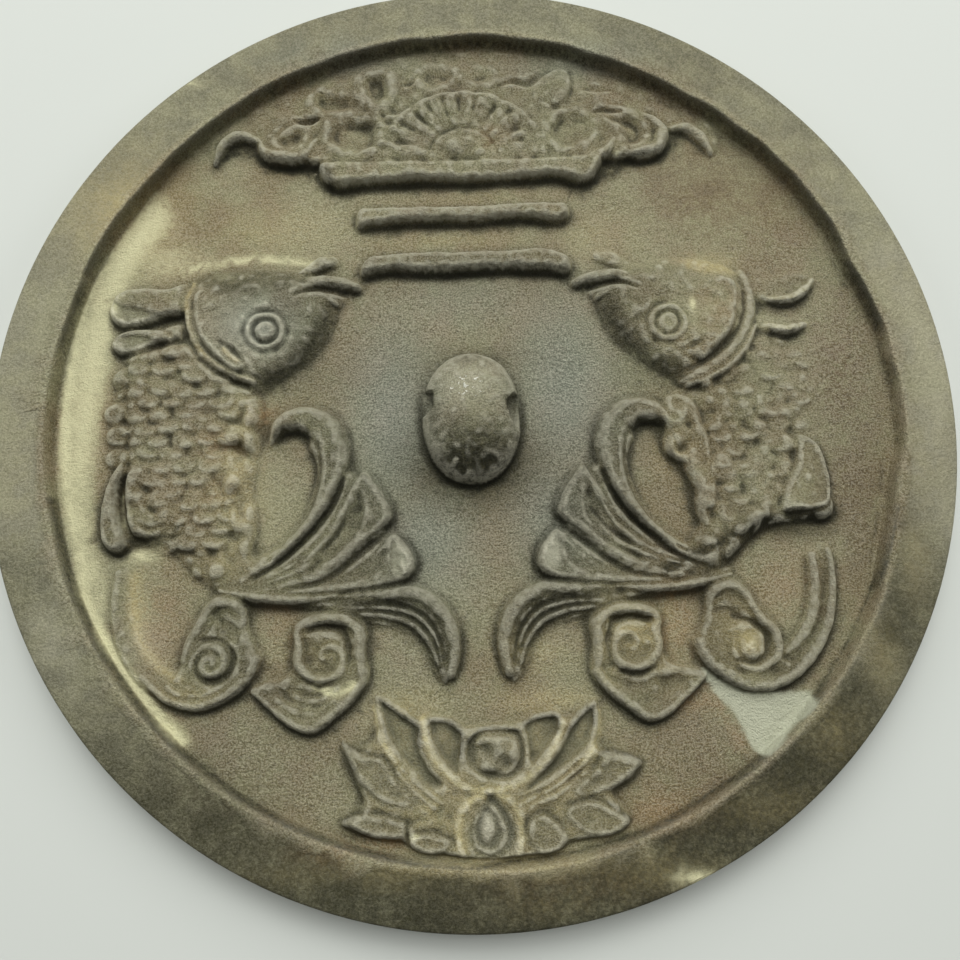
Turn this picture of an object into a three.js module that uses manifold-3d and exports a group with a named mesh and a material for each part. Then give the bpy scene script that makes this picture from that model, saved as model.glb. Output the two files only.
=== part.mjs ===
// A round cast bronze mirror, lying with its decorated back up and its plain face down.
// A flat rim stands above a sunken field. On the field are a pierced knob, two curling fish,
// four clouds, a lotus, three bars and a flower with leaves. The whole thing is one casting.
//
// Millimetres, +Z up. The origin is the middle of the plain face, and +Y runs from the lotus
// to the flower. Relief that comes in pairs is drawn once as [out, up] points, where out is
// the distance from the line of symmetry, and is then set on both sides.
import * as THREE from "three";
import { mergeVertices } from "three/addons/utils/BufferGeometryUtils.js";
import Module from "manifold-3d";

// Disc
const RADIUS = 85;
const RIM_WIDTH = 9.5;
const RIM_TOP = 7;
const FIELD_TOP = 3.4;
const EDGE_ROUND = 0.6;
const RIM_FOOT = 1.1;
const DISC_SIDES = 96;

// Relief. Every raised form starts a little inside the disc, its outline takes a point each
// step of its length, and its sides lean in by a share of its narrowest width.
const AXIS_X = -1;
const ROOT = 0.2;
const SINK = 0.12;
const FINE_STEP = 2.3;
const STEP = 3.2;
const COARSE_STEP = 4.2;
const BAND_LEAN = 0.32;
const BOSS_LEAN = 0.55;
const BOSS_SIDES = 9;

// Knob and the cord hole through it, along X
const KNOB = { x: -1, y: -0.5, halfX: 9, halfY: 12.3, height: 7, fullness: 0.85 };
const KNOB_SIDES = 26;
const KNOB_LEVELS = 6;
const CORD_HOLE = { y: -0.1, width: 5.8, wall: 3.3, height: 5.3, length: 26, floor: 0.1 };

// A fish's eye: a boss left standing in a sunken ring, both seen from the line of symmetry
const EYE = { out: 36.5, up: 16.2, bossRadius: 1.8, ringRadius: 3.5, lean: 0.4, top: 3.4, floor: 2 };
const EYE_SIDES = 14;
const BEAD_HEIGHT = 1.6;
const BARB_HEIGHT = 1.1;

// Flower and lotus
const FLOWER_Y = 50.2;
const SEED_HEAD = { halfX: 5.8, height: 5.6, rise: 2.4 };
const SPRAY_HEIGHT = 1.6;
const LOTUS_X = AXIS_X + 1.3;
const DROP_Y = -70.6;
const LEAF_HEIGHT = 2.5;

const LEFT = -1;
const RIGHT = 1;

const wasm = await Module();
wasm.setup();

/** A closed three.js geometry as a solid that can be joined and cut. */
function toSolid(geometry) {
  geometry.deleteAttribute("normal");
  geometry.deleteAttribute("uv");
  const welded = mergeVertices(geometry, 1e-4);
  const mesh = new wasm.Mesh({
    numProp: 3,
    vertProperties: new Float32Array(welded.attributes.position.array),
    triVerts: new Uint32Array(welded.index.array),
  });
  return new wasm.Manifold(mesh);
}

/** A solid as a three.js geometry with flat faces. */
function toGeometry(solid) {
  const mesh = solid.getMesh();
  const geometry = new THREE.BufferGeometry();
  geometry.setAttribute("position", new THREE.BufferAttribute(mesh.vertProperties, 3));
  geometry.setIndex(new THREE.BufferAttribute(mesh.triVerts, 1));
  const faceted = geometry.toNonIndexed();
  faceted.computeVertexNormals();
  return faceted;
}

/** Points on one side of the line of symmetry; a side of LEFT mirrors them. */
function onSide(points, side) {
  return points.map(([out, up]) => [AXIS_X + side * out, up]);
}

/** A smooth curve through points. */
function curveThrough(points, closed) {
  const places = points.map(([x, y]) => new THREE.Vector3(x, y, 0));
  return new THREE.CatmullRomCurve3(places, closed, "centripetal");
}

/** Points a step apart round a smooth closed outline. */
function outlineThrough(points, step) {
  const curve = curveThrough(points, true);
  const count = Math.max(6, Math.round(curve.getLength() / step));
  const spaced = curve.getSpacedPoints(count).slice(0, count);
  return spaced.map((place) => new THREE.Vector2(place.x, place.y));
}

/** The two long sides of a band along a curve, joined into one outline. */
function bandOutline(points, widths, step) {
  const curve = curveThrough(points, false);
  const count = Math.max(3, Math.round(curve.getLength() / step));
  const near = [];
  const far = [];
  for (let i = 0; i <= count; i += 1) {
    const share = i / count;
    const place = curve.getPointAt(share);
    const along = curve.getTangentAt(share);
    const slot = share * (widths.length - 1);
    const low = Math.min(Math.floor(slot), widths.length - 2);
    const half = THREE.MathUtils.lerp(widths[low], widths[low + 1], slot - low) / 2;
    near.push(new THREE.Vector2(place.x - along.y * half, place.y + along.x * half));
    far.unshift(new THREE.Vector2(place.x + along.y * half, place.y - along.x * half));
  }
  return near.concat(far);
}

/** A raised form: its foot is the outline, and its sides lean in by slope up to its height. */
function raise(outline, height, slope, rounds = 1) {
  const geometry = new THREE.ExtrudeGeometry(new THREE.Shape(outline), {
    depth: ROOT,
    bevelThickness: height + SINK,
    bevelSize: slope,
    bevelOffset: -slope,
    bevelSegments: rounds,
  });
  geometry.translate(0, 0, FIELD_TOP - SINK - ROOT);
  return toSolid(geometry);
}

/** A raised form with a smooth outline through points. */
function plate(points, height, slope, step = STEP, rounds = 1) {
  return raise(outlineThrough(points, step), height, slope, rounds);
}

/** A raised band along a curve, with its widths spaced evenly along it. */
function band(points, widths, height, step = STEP) {
  const slope = BAND_LEAN * Math.min(...widths);
  return raise(bandOutline(points, widths, step), height, slope);
}

/** A raised oval boss, turned by a number of degrees. */
function boss(x, y, halfX, halfY, height, turn = 0, sides = BOSS_SIDES) {
  const turned = THREE.MathUtils.degToRad(turn);
  const oval = new THREE.EllipseCurve(x, y, halfX, halfY, 0, 2 * Math.PI, false, turned);
  const outline = oval.getPoints(sides).slice(0, sides);
  return raise(outline, height, BOSS_LEAN * Math.min(halfX, halfY), 2);
}

/** A straight-sided cutter that takes the relief down to a floor above the field. */
function cutter(outline, floor) {
  const geometry = new THREE.ExtrudeGeometry(new THREE.Shape(outline), {
    depth: KNOB.height,
    bevelEnabled: false,
  });
  geometry.translate(0, 0, FIELD_TOP + floor);
  return toSolid(geometry);
}

/** Points of a coil that winds in from one radius to another, angles in degrees. */
function coil(centre, outerRadius, innerRadius, startAngle, sweep, count) {
  const points = [];
  for (let i = 0; i <= count; i += 1) {
    const share = i / count;
    const radius = THREE.MathUtils.lerp(outerRadius, innerRadius, share);
    const angle = THREE.MathUtils.degToRad(startAngle + sweep * share);
    points.push([centre[0] + radius * Math.cos(angle), centre[1] + radius * Math.sin(angle)]);
  }
  return points;
}

/** The disc with its raised rim, turned round Z. */
function makeDisc() {
  const innerRadius = RADIUS - RIM_WIDTH;
  const profile = [
    [0, 0],
    [RADIUS - EDGE_ROUND, 0],
    [RADIUS, EDGE_ROUND],
    [RADIUS, RIM_TOP - EDGE_ROUND],
    [RADIUS - EDGE_ROUND, RIM_TOP],
    [innerRadius + EDGE_ROUND, RIM_TOP],
    [innerRadius, RIM_TOP - EDGE_ROUND],
    [innerRadius - RIM_FOOT, FIELD_TOP],
    [0, FIELD_TOP],
  ];
  const corners = profile.map(([r, z]) => new THREE.Vector2(r, z));
  const geometry = new THREE.LatheGeometry(corners, DISC_SIDES);
  geometry.rotateX(Math.PI / 2);
  return toSolid(geometry);
}

/** The oval knob, a dome with a full shoulder. */
function makeKnob() {
  const profile = [new THREE.Vector2(0, -ROOT), new THREE.Vector2(1, -ROOT)];
  for (let i = 0; i < KNOB_LEVELS; i += 1) {
    const angle = (Math.PI / 2) * (i / KNOB_LEVELS);
    const out = Math.cos(angle) ** KNOB.fullness;
    const up = KNOB.height * Math.sin(angle) ** KNOB.fullness;
    profile.push(new THREE.Vector2(out, up));
  }
  profile.push(new THREE.Vector2(0, KNOB.height));
  const geometry = new THREE.LatheGeometry(profile, KNOB_SIDES);
  geometry.rotateX(Math.PI / 2);
  geometry.scale(KNOB.halfX, KNOB.halfY, 1);
  geometry.translate(KNOB.x, KNOB.y, FIELD_TOP);
  return toSolid(geometry);
}

/** The cord hole: straight walls under a low arch. */
function makeCordHole() {
  const half = CORD_HOLE.width / 2;
  const section = new THREE.Shape();
  section.moveTo(half, 0);
  section.lineTo(half, CORD_HOLE.wall);
  section.absellipse(0, CORD_HOLE.wall, half, CORD_HOLE.height - CORD_HOLE.wall, 0, Math.PI, false, 0);
  section.lineTo(-half, 0);
  const geometry = new THREE.ExtrudeGeometry(section, {
    depth: CORD_HOLE.length,
    bevelEnabled: false,
    curveSegments: 8,
  });
  geometry.translate(0, 0, -CORD_HOLE.length / 2);
  geometry.rotateX(Math.PI / 2);
  geometry.rotateZ(Math.PI / 2);
  geometry.translate(KNOB.x, CORD_HOLE.y, FIELD_TOP + CORD_HOLE.floor);
  return toSolid(geometry);
}

/** The ring sunk round a fish's eye, narrower at its floor. */
function makeEyeRing(side) {
  const start = new THREE.Vector2(EYE.bossRadius + EYE.lean, EYE.floor);
  const profile = [
    start,
    new THREE.Vector2(EYE.ringRadius - EYE.lean, EYE.floor),
    new THREE.Vector2(EYE.ringRadius, EYE.top),
    new THREE.Vector2(EYE.bossRadius, EYE.top),
    start,
  ];
  const geometry = new THREE.LatheGeometry(profile, EYE_SIDES);
  geometry.rotateX(Math.PI / 2);
  geometry.translate(AXIS_X + side * EYE.out, EYE.up, FIELD_TOP);
  return toSolid(geometry);
}

/** A fish that curls round one side of the field, from its open mouth to its forked tail. */
function makeFish(side) {
  const on = (points) => onSide(points, side);
  const head = [
    [20.6, 25.2], [26, 27.4], [33, 29.4], [39.5, 29.8], [46.5, 28.4], [50.8, 25.6], [51.4, 20],
    [50, 14.6], [45.7, 9.6], [39.6, 5.8], [34, 8.4], [29, 11.6], [25.4, 15.2], [24.2, 19.4], [22.4, 22.6],
  ];
  const brow = [
    [24.6, 25.8], [30, 27.9], [36, 29], [42, 28.8], [47.5, 27.2], [50, 24.8], [50.4, 20], [49, 15.4],
    [45, 11.2], [40.4, 8.4], [36.4, 10.4], [32.8, 13.6], [30.2, 17.4], [29.8, 21.4], [27.6, 24.6],
  ];
  const gill = [[51, 26.8], [53, 20.6], [51.8, 15.2], [48.8, 10.4], [44.6, 6.8], [39.8, 5.4]];
  const mouth = [[19.4, 23.6], [24.4, 24], [28.2, 24.2], [31, 22.6]];
  const nostril = [[44.4, 14.2], [41.6, 12.8], [40.2, 10.2], [42.8, 11]];
  const backFin = [
    [50.6, 27], [56, 26.4], [61.5, 26.1], [64.5, 24.5], [65.1, 21.8], [64, 19.4], [61.6, 18.2],
    [58.2, 19], [55.2, 20.2], [51.6, 20],
  ];
  const lowBackFin = [
    [52, 19.4], [56.8, 18.3], [60.8, 17.7], [63.9, 16.8], [64.9, 15], [63.6, 13.2], [60, 13.4],
    [56.2, 14.8], [51.6, 15.6],
  ];
  const body = [
    [51, 16], [57, 13.6], [63.4, 12.6], [63.6, 7], [61.8, 1], [60.8, -6], [58, -13], [53.6, -19.6],
    [49.6, -25], [45, -29], [38, -31.4], [32.4, -31], [34.6, -26], [39.2, -17.4], [42.4, -9],
    [43.6, -1], [42.2, 5.4], [47, 9],
  ];
  const outerFin = [
    [62, -6.4], [64, -10], [64.9, -15], [64.7, -19.4], [63.4, -22.2], [61.4, -22.8], [59.4, -20.8],
    [60.2, -18], [61.2, -13], [60.8, -8.4],
  ];
  const innerFin = [
    [59.4, -8.6], [60.8, -13], [60.4, -17.2], [58.4, -20.2], [55, -20.6], [51.8, -18.6], [50.6, -15],
    [52.6, -10.4],
  ];
  const crook = [
    [35.6, -3.4], [34.8, 0], [31.2, 1.6], [27, 0.8], [24.2, -2.4], [22.9, -7.4], [24, -12.8],
    [27, -18], [31, -22.4], [35.6, -26],
  ];
  const crookLining = [[31, -2.8], [27.8, -5], [26.9, -9.6], [28.2, -15], [31.6, -20.4], [35.4, -24]];
  const lobe = [
    [19.2, -9.6], [16, -13.4], [14.7, -17.4], [16.2, -19.8], [20.8, -24], [27, -28.6], [31.6, -29],
    [30.4, -24.8], [25.6, -19.4], [22.6, -13.8],
  ];
  const lobeVein = [[19, -13.6], [20.4, -18.6], [24.4, -23.4], [29.6, -27.2]];
  const lowLobe = [
    [14.4, -20.6], [11.4, -23.8], [10.6, -26.8], [12.6, -28.9], [18, -30.3], [25.6, -30.8],
    [30.6, -31], [31, -28.8], [24.8, -27.2], [19.4, -24.8], [16.8, -21.8],
  ];
  const tail = [
    [37, -30.6], [28, -31.4], [19, -32.6], [11.6, -33.8], [7.6, -37.4], [6, -42.4], [6, -46.2],
  ];
  const tailEdge = [
    [31, -30.8], [20, -31.4], [12, -31], [8, -32.6], [5.4, -36], [4.2, -40.4], [4.8, -44.6], [6, -46.6],
  ];
  const tailVein = [[17, -35], [11.6, -36.4], [8.6, -39.4], [7.2, -43]];

  let fish = plate(on(head), 1.7, 1.3);
  const parts = [
    plate(on(brow), 2.8, 1.1),
    band(on(gill), [1.6, 2.4, 2.4, 1.6], 2.4),
    plate(on(backFin), 1.8, 0.8),
    plate(on(lowBackFin), 1.8, 0.7),
    plate(on(body), 1.8, 1.6, COARSE_STEP, 2),
    plate(on(outerFin), 1.9, 0.7),
    plate(on(innerFin), 2.1, 0.9),
    band(on(crook), [1.6, 2.2, 2.4, 2.2, 1.4], 2.2),
    band(on(crookLining), [1, 2.6, 2.6, 1.2], 1.1),
    plate(on(lobe), 1.3, 0.7),
    band(on(lobeVein), [1.2, 2.6, 2, 1], 1.9),
    plate(on(lowLobe), 1.5, 0.8),
    band(on(tail), [1.6, 3, 5, 5.6, 4.4, 3.4, 1], 0.8),
    band(on(tailEdge), [1, 1.6, 1.8, 1.8, 1.2], 1.9),
    band(on(tailVein), [1, 1.4, 0.9], 1.3),
  ];
  const beads = [
    { out: 26.8, up: 29.2, halfOut: 2, halfUp: 1.5 },
    { out: 47.3, up: -22.3, halfOut: 1.3, halfUp: 1.3 },
    { out: 44, up: -26.9, halfOut: 1.5, halfUp: 1.4 },
    { out: 48.2, up: -26.2, halfOut: 1.1, halfUp: 1.1 },
  ];
  for (const { out, up, halfOut, halfUp } of beads) {
    parts.push(boss(AXIS_X + side * out, up, halfOut, halfUp, BEAD_HEIGHT));
  }
  const barbs = { out: 62.6, ups: [2.2, -1.9, -6.1], halfOut: 2.6, halfUp: 1.8 };
  for (const up of barbs.ups) {
    parts.push(boss(AXIS_X + side * barbs.out, up, barbs.halfOut, barbs.halfUp, BARB_HEIGHT));
  }
  for (const part of parts) {
    fish = fish.add(part);
  }
  return fish
    .subtract(cutter(bandOutline(on(mouth), [1.6, 1.2, 1.4, 0.6], STEP), 0.4))
    .subtract(cutter(outlineThrough(on(nostril), FINE_STEP), 2.2))
    .subtract(makeEyeRing(side));
}

/** The cloud beside the rim: a button coil with a hook above and a stem that follows the rim. */
function makeStemCloud(side) {
  const on = (points) => onSide(points, side);
  const base = [
    [49, -38.6], [47.2, -34.4], [45.4, -31], [42.6, -30.3], [39.6, -31.6], [39.1, -36.4], [37, -41.2],
    [38.8, -44.6], [43.4, -48.2], [49.4, -49.4], [55, -47], [59.4, -41.8], [62.2, -35], [62.4, -27.4],
    [60.4, -25], [57.6, -27.2], [58, -34], [55.8, -41.4], [52.6, -44.4], [50.2, -43],
  ];
  const hook = [[40.2, -34.6], [41, -32.4], [43.6, -31.2], [46.2, -33], [47.6, -36.6]];
  const rib = [
    [39, -42.6], [42.4, -46.4], [48, -48.4], [54, -46.2], [58.4, -41.4], [60.8, -34.6], [61, -27],
  ];
  const button = [45.4, -41.7];
  const turns = coil(button, 4.9, 1.1, 62, -400, 18);
  return plate(on(base), 0.9, 0.6)
    .add(band(on(hook.concat(turns)), [1, 1.8, 1.9, 1.9, 1.8, 1.6, 1.4, 1.2], 2, FINE_STEP))
    .add(band(on(rib), [1, 1.4, 1.4, 1], 1.6, COARSE_STEP));
}

/** The cloud under a fish's tail: a square-shouldered coil that runs out into a broad lobe. */
function makeLobeCloud(side) {
  const on = (points) => onSide(points, side);
  const base = [
    [31, -35.2], [26.6, -33.9], [21.4, -34.2], [18.8, -37.6], [18.4, -43.6], [19.2, -47.4],
    [23.4, -51], [28, -54.9], [33.4, -52.8], [38.4, -47], [35.4, -45], [31.8, -43.4], [31.8, -38.6],
  ];
  const lip = [[37, -47.8], [33.2, -51.6], [28.8, -53.4], [24.6, -50.4], [20.6, -46.6]];
  const turns = coil([26.4, -41], 7, 1, 214, -585, 26);
  return plate(on(base), 0.9, 0.6)
    .add(band(on(lip.concat(turns)), [1, 1.6, 1.6, 1.6, 1.7, 1.6, 1.4, 1], 1.9, FINE_STEP));
}

/** The three bars that stand for the neck and foot of a vase. */
function makeBars() {
  const lip = [
    [-28.8, 48], [-27, 46.2], [-24, 45.9], [0, 46.1], [20, 45.8], [24.4, 46.6], [26, 49.4], [24, 50.3],
    [0, 50.2], [-24, 50.4], [-28, 49.8],
  ];
  const neck = [[-20.8, 38.3], [19.4, 38.4], [19.4, 40.9], [-20.8, 40.9]];
  const foot = [[-19.6, 28.3], [18.9, 28.4], [18.6, 30.4], [16, 31.8], [-16, 31.8], [-19, 30.4]];
  const straight = (points) => onSide(points, RIGHT).map(([x, y]) => new THREE.Vector2(x, y));
  return plate(onSide(lip, RIGHT), 2.4, 0.8, COARSE_STEP)
    .add(raise(straight(neck), 2.2, 0.6, 2))
    .add(raise(straight(foot), 2.8, 0.8, 2));
}

/** One petal of a flower, widest two thirds of the way out. */
function makePetal(centre, rootRadius, tipRadius, width, angle, height) {
  const shoulder = THREE.MathUtils.lerp(rootRadius, tipRadius, 0.66);
  const corners = [
    [rootRadius, -width / 4], [shoulder, -width / 2], [tipRadius, -width / 8],
    [tipRadius, width / 8], [shoulder, width / 2], [rootRadius, width / 4],
  ];
  const middle = new THREE.Vector2(0, 0);
  const turned = corners.map(([r, offset]) => new THREE.Vector2(r, offset).rotateAround(middle, angle));
  return raise(turned.map((corner) => corner.add(centre)), height, 0.2 * width);
}

/** Half a flower above the top bar, between two sprays of leaves. */
function makeFlower() {
  const centre = new THREE.Vector2(AXIS_X, FLOWER_Y);
  const spray = [
    [0, 71.6], [6, 71.2], [12, 70.8], [17, 71.4], [22, 70.2], [27, 68.2], [32, 66], [37, 62.6],
    [42, 59.8], [47, 57.2], [49.4, 53.6], [48.4, 50.4], [46.8, 51], [45.6, 54], [43, 55.8],
    [40.2, 54.6], [38.6, 51.8], [34, 50.8], [29, 50.8], [24, 50],
  ];
  const half = onSide(spray, RIGHT);
  const otherHalf = onSide(spray, LEFT).reverse();
  const seedHead = new THREE.EllipseCurve(
    centre.x, centre.y - 1, SEED_HEAD.halfX, SEED_HEAD.height + 1, 0, Math.PI,
  );
  let flower = plate(half.concat(otherHalf.slice(0, -1)), SPRAY_HEIGHT, 0.7, COARSE_STEP);
  flower = flower.add(raise(seedHead.getPoints(8), SEED_HEAD.rise, 1.2));
  const rings = [
    { root: 6.2, tip: 12.4, width: 3.3, count: 9, height: 2.5 },
    { root: 11, tip: 17.2, width: 5.4, count: 8, height: 2.1 },
  ];
  for (const { root, tip, width, count, height } of rings) {
    for (let i = 0; i < count; i += 1) {
      const angle = (Math.PI * (i + 0.5)) / count;
      flower = flower.add(makePetal(centre, root, tip, width, angle, height));
    }
  }
  const leaves = [
    { out: 32.8, up: 55.2, halfOut: 6, halfUp: 4, turn: 8 },
    { out: 26, up: 62.6, halfOut: 5, halfUp: 3.6, turn: -20 },
    { out: 17.6, up: 66.2, halfOut: 4, halfUp: 4.8, turn: 12 },
    { out: 21.6, up: 56, halfOut: 4.8, halfUp: 4.2, turn: -8 },
    { out: 5.6, up: 69, halfOut: 4, halfUp: 2.2, turn: 0 },
    { out: 34.6, up: 61.6, halfOut: 4.2, halfUp: 2.2, turn: -30 },
  ];
  for (const side of [LEFT, RIGHT]) {
    for (const { out, up, halfOut, halfUp, turn } of leaves) {
      flower = flower.add(boss(AXIS_X + side * out, up, halfOut, halfUp, LEAF_HEIGHT, side * turn));
    }
    const hook = onSide([[38.4, 52.6], [40, 56], [43.4, 57.4], [46.8, 55.6], [47.8, 51.4]], side);
    flower = flower.add(band(hook, [1.2, 2, 1.8, 1], 2.2));
  }
  return flower;
}

/** An open lotus: a seed pod, five pairs of petals and a drop below. */
function makeLotus() {
  const petals = [
    [[10.3, -52.1], [6.6, -52.8], [4.8, -56], [5.4, -61.2], [8, -59.6], [10.4, -56]],
    [
      [17.4, -49.5], [13.4, -52.4], [11, -57.6], [6.6, -63], [6.2, -65], [10.6, -62.4], [15.2, -57.2],
      [17.4, -53],
    ],
    [[24.6, -57.4], [19.8, -57.2], [15.8, -60], [10.6, -65.6], [14.6, -66], [20.6, -62.8], [23.8, -60]],
    [[23.8, -68.6], [19, -66.2], [12.4, -67.4], [13.2, -70], [18, -71.4], [22, -70.6]],
    [[5, -69.6], [8, -67.9], [12.4, -70.2], [11.2, -73], [7, -73.7]],
  ];
  let lotus = boss(AXIS_X + 2.2, -58.4, 4.9, 4.3, 1.7, 0, 12);
  for (const side of [LEFT, RIGHT]) {
    for (const petal of petals) {
      const points = petal.map(([out, up]) => [LOTUS_X + side * out, up]);
      lotus = lotus.add(plate(points, 1.5, 0.7, STEP));
    }
  }
  const dropCorners = [[0, 5.2], [3.9, 0], [2.8, -3.2], [0, -4], [-2.8, -3.2], [-3.9, 0]];
  const drop = (size) => dropCorners.map(([out, up]) => [LOTUS_X + size * out, DROP_Y + size * up]);
  return lotus
    .add(plate(drop(1), 1.2, 0.6))
    .add(plate(drop(0.56), 1.9, 0.6, FINE_STEP));
}

/** The whole casting as one solid. */
function makeMirror() {
  let relief = makeBars().add(makeFlower()).add(makeLotus());
  for (const side of [LEFT, RIGHT]) {
    relief = relief.add(makeFish(side)).add(makeStemCloud(side)).add(makeLobeCloud(side));
  }
  return makeDisc().add(relief).add(makeKnob()).subtract(makeCordHole());
}

const bronze = new THREE.MeshStandardMaterial({
  color: 0x6e6856,
  roughness: 0.5,
  metalness: 0.75,
});

const mirror = new THREE.Mesh(toGeometry(makeMirror()), bronze);
mirror.name = "mirror";

const part = new THREE.Group();
part.add(mirror);

export default part;
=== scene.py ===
"""A round cast bronze mirror, lying with its decorated back up.

The casting is one closed skin. Its relief (two curling fish, four clouds, a lotus, three bars and
a flower between leaves) is drawn on a sheet of heights over the sunken field, a Geometry Nodes
tree lifts a round blank by that sheet, and the cord hole is then cut through the knob.
Relief is drawn in millimetres from the middle of the disc, and the scene is in metres.
"""

import logging
import math
from collections.abc import Sequence
from dataclasses import dataclass, field
from enum import Enum

import bmesh
import bpy
import numpy as np
from mathutils import Matrix, Vector

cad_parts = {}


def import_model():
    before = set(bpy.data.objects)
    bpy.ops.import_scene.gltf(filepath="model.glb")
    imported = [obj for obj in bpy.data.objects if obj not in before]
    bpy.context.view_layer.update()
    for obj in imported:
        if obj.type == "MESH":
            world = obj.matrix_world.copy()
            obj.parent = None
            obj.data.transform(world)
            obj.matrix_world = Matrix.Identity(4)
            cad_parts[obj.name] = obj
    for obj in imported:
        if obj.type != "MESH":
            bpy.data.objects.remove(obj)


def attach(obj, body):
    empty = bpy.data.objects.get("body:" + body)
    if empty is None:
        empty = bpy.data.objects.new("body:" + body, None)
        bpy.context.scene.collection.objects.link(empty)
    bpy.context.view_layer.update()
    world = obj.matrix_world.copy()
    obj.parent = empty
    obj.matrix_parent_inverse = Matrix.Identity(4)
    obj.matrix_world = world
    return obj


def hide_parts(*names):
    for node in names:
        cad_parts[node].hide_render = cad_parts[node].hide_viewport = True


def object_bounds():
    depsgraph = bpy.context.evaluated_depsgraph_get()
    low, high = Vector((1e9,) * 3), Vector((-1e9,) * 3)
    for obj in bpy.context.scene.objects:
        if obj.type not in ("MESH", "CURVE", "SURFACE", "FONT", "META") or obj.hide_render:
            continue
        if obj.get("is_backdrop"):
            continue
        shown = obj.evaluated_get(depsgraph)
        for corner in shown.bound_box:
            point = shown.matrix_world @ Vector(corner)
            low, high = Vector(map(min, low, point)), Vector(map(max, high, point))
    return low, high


LOG = logging.getLogger("mirror")
MM = 0.001
HAIR = 1e-6
AXIS_X = -1.0
MAPS = ("hollow", "edge", "rim", "shade")

Point = tuple[float, float]


class Side(Enum):
    """Which side of the line of symmetry a paired form is on."""

    LEFT = -1
    RIGHT = 1

    def place(self, points: Sequence[Point]) -> list[Point]:
        """Turns [out, up] points into places on this side."""
        return [(AXIS_X + self.value * out, up) for out, up in points]


class Lay(Enum):
    """How a raised form meets what is already there."""

    OVER = "over"
    ON = "on"


class Tone(Enum):
    """A deposit, tint or polish that lies on parts of the bronze, or painted shade, a painted
    highlight or painted glints.
    """

    PALE = "pale"
    TAN = "tan"
    RUST = "rust"
    GREEN = "green"
    RED = "red"
    BLUE = "blue"
    SLATE = "slate"
    # DARK holds dark patina and painted shade, the tone after it painted shade alone, BRIGHT mostly
    # painted highlights and sheen, SPARKLE painted glints.
    DARK = "dark"
    PAINTED_SHADE = "soot"
    BRIGHT = "bright"
    SPARKLE = "sparkle"
    SMOOTH = "smooth"


# ---- small helpers


def ramp(values: np.ndarray, start: float, length: float) -> np.ndarray:
    """Rises from 0 at start to 1 a length later, or falls to it where the length is below 0."""
    return np.clip((values - start) / length, 0, 1)


def link_object(name: str, data: bpy.types.ID) -> bpy.types.Object:
    """Makes an object of some data, with the same name, and puts it in the scene."""
    made = bpy.data.objects.new(name, data)
    bpy.context.scene.collection.objects.link(made)
    return made


def points_of(mesh: bpy.types.Mesh) -> np.ndarray:
    """Reads a mesh's points, one row each."""
    places = np.empty(len(mesh.vertices) * 3)
    mesh.vertices.foreach_get("co", places)
    return places.reshape(-1, 3)


# ---- curves


def smooth_curve(points: Sequence[Point], closed: bool, step: float = 0.5) -> np.ndarray:
    """Draws a smooth curve through points.

    Args:
        points: the places that the curve goes through, in mm.
        closed: whether it ends where it starts.
        step: the distance between the places returned, in mm.

    Returns:
        An array of places along the curve; a closed curve repeats its first place.
    """
    p = np.asarray(points, float)
    if closed:
        p = np.vstack([p[-1], p, p[0], p[1]])
    else:
        p = np.vstack([2 * p[0] - p[1], p, 2 * p[-1] - p[-2]])
    runs = []
    for a, b, c, d in zip(p[:-3], p[1:-2], p[2:-1], p[3:]):
        t1 = math.sqrt(math.dist(a, b)) + 1e-6
        t2 = t1 + math.sqrt(math.dist(b, c)) + 1e-6
        t3 = t2 + math.sqrt(math.dist(c, d)) + 1e-6
        count = max(2, math.ceil(math.dist(b, c) / step))
        t = np.linspace(t1, t2, count, endpoint=False)[:, None]
        ab = (t1 - t) / t1 * a + t / t1 * b
        bc = (t2 - t) / (t2 - t1) * b + (t - t1) / (t2 - t1) * c
        cd = (t3 - t) / (t3 - t2) * c + (t - t2) / (t3 - t2) * d
        abc = (t2 - t) / t2 * ab + t / t2 * bc
        bcd = (t3 - t) / (t3 - t1) * bc + (t - t1) / (t3 - t1) * cd
        runs.append((t2 - t) / (t2 - t1) * abc + (t - t1) / (t2 - t1) * bcd)
    runs.append(p[-2:-1])
    return np.vstack(runs)


def coil(centre: Point, outer: float, inner: float, start: float, sweep: float) -> list[Point]:
    """Gives the points of a coil that winds in, its angles in degrees."""
    count = max(8, int(abs(sweep) / 24))
    points = []
    for i in range(count + 1):
        share = i / count
        radius = outer + (inner - outer) * share
        angle = math.radians(start + sweep * share)
        points.append((centre[0] + radius * math.cos(angle), centre[1] + radius * math.sin(angle)))
    return points


# ---- the sheet of heights


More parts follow.
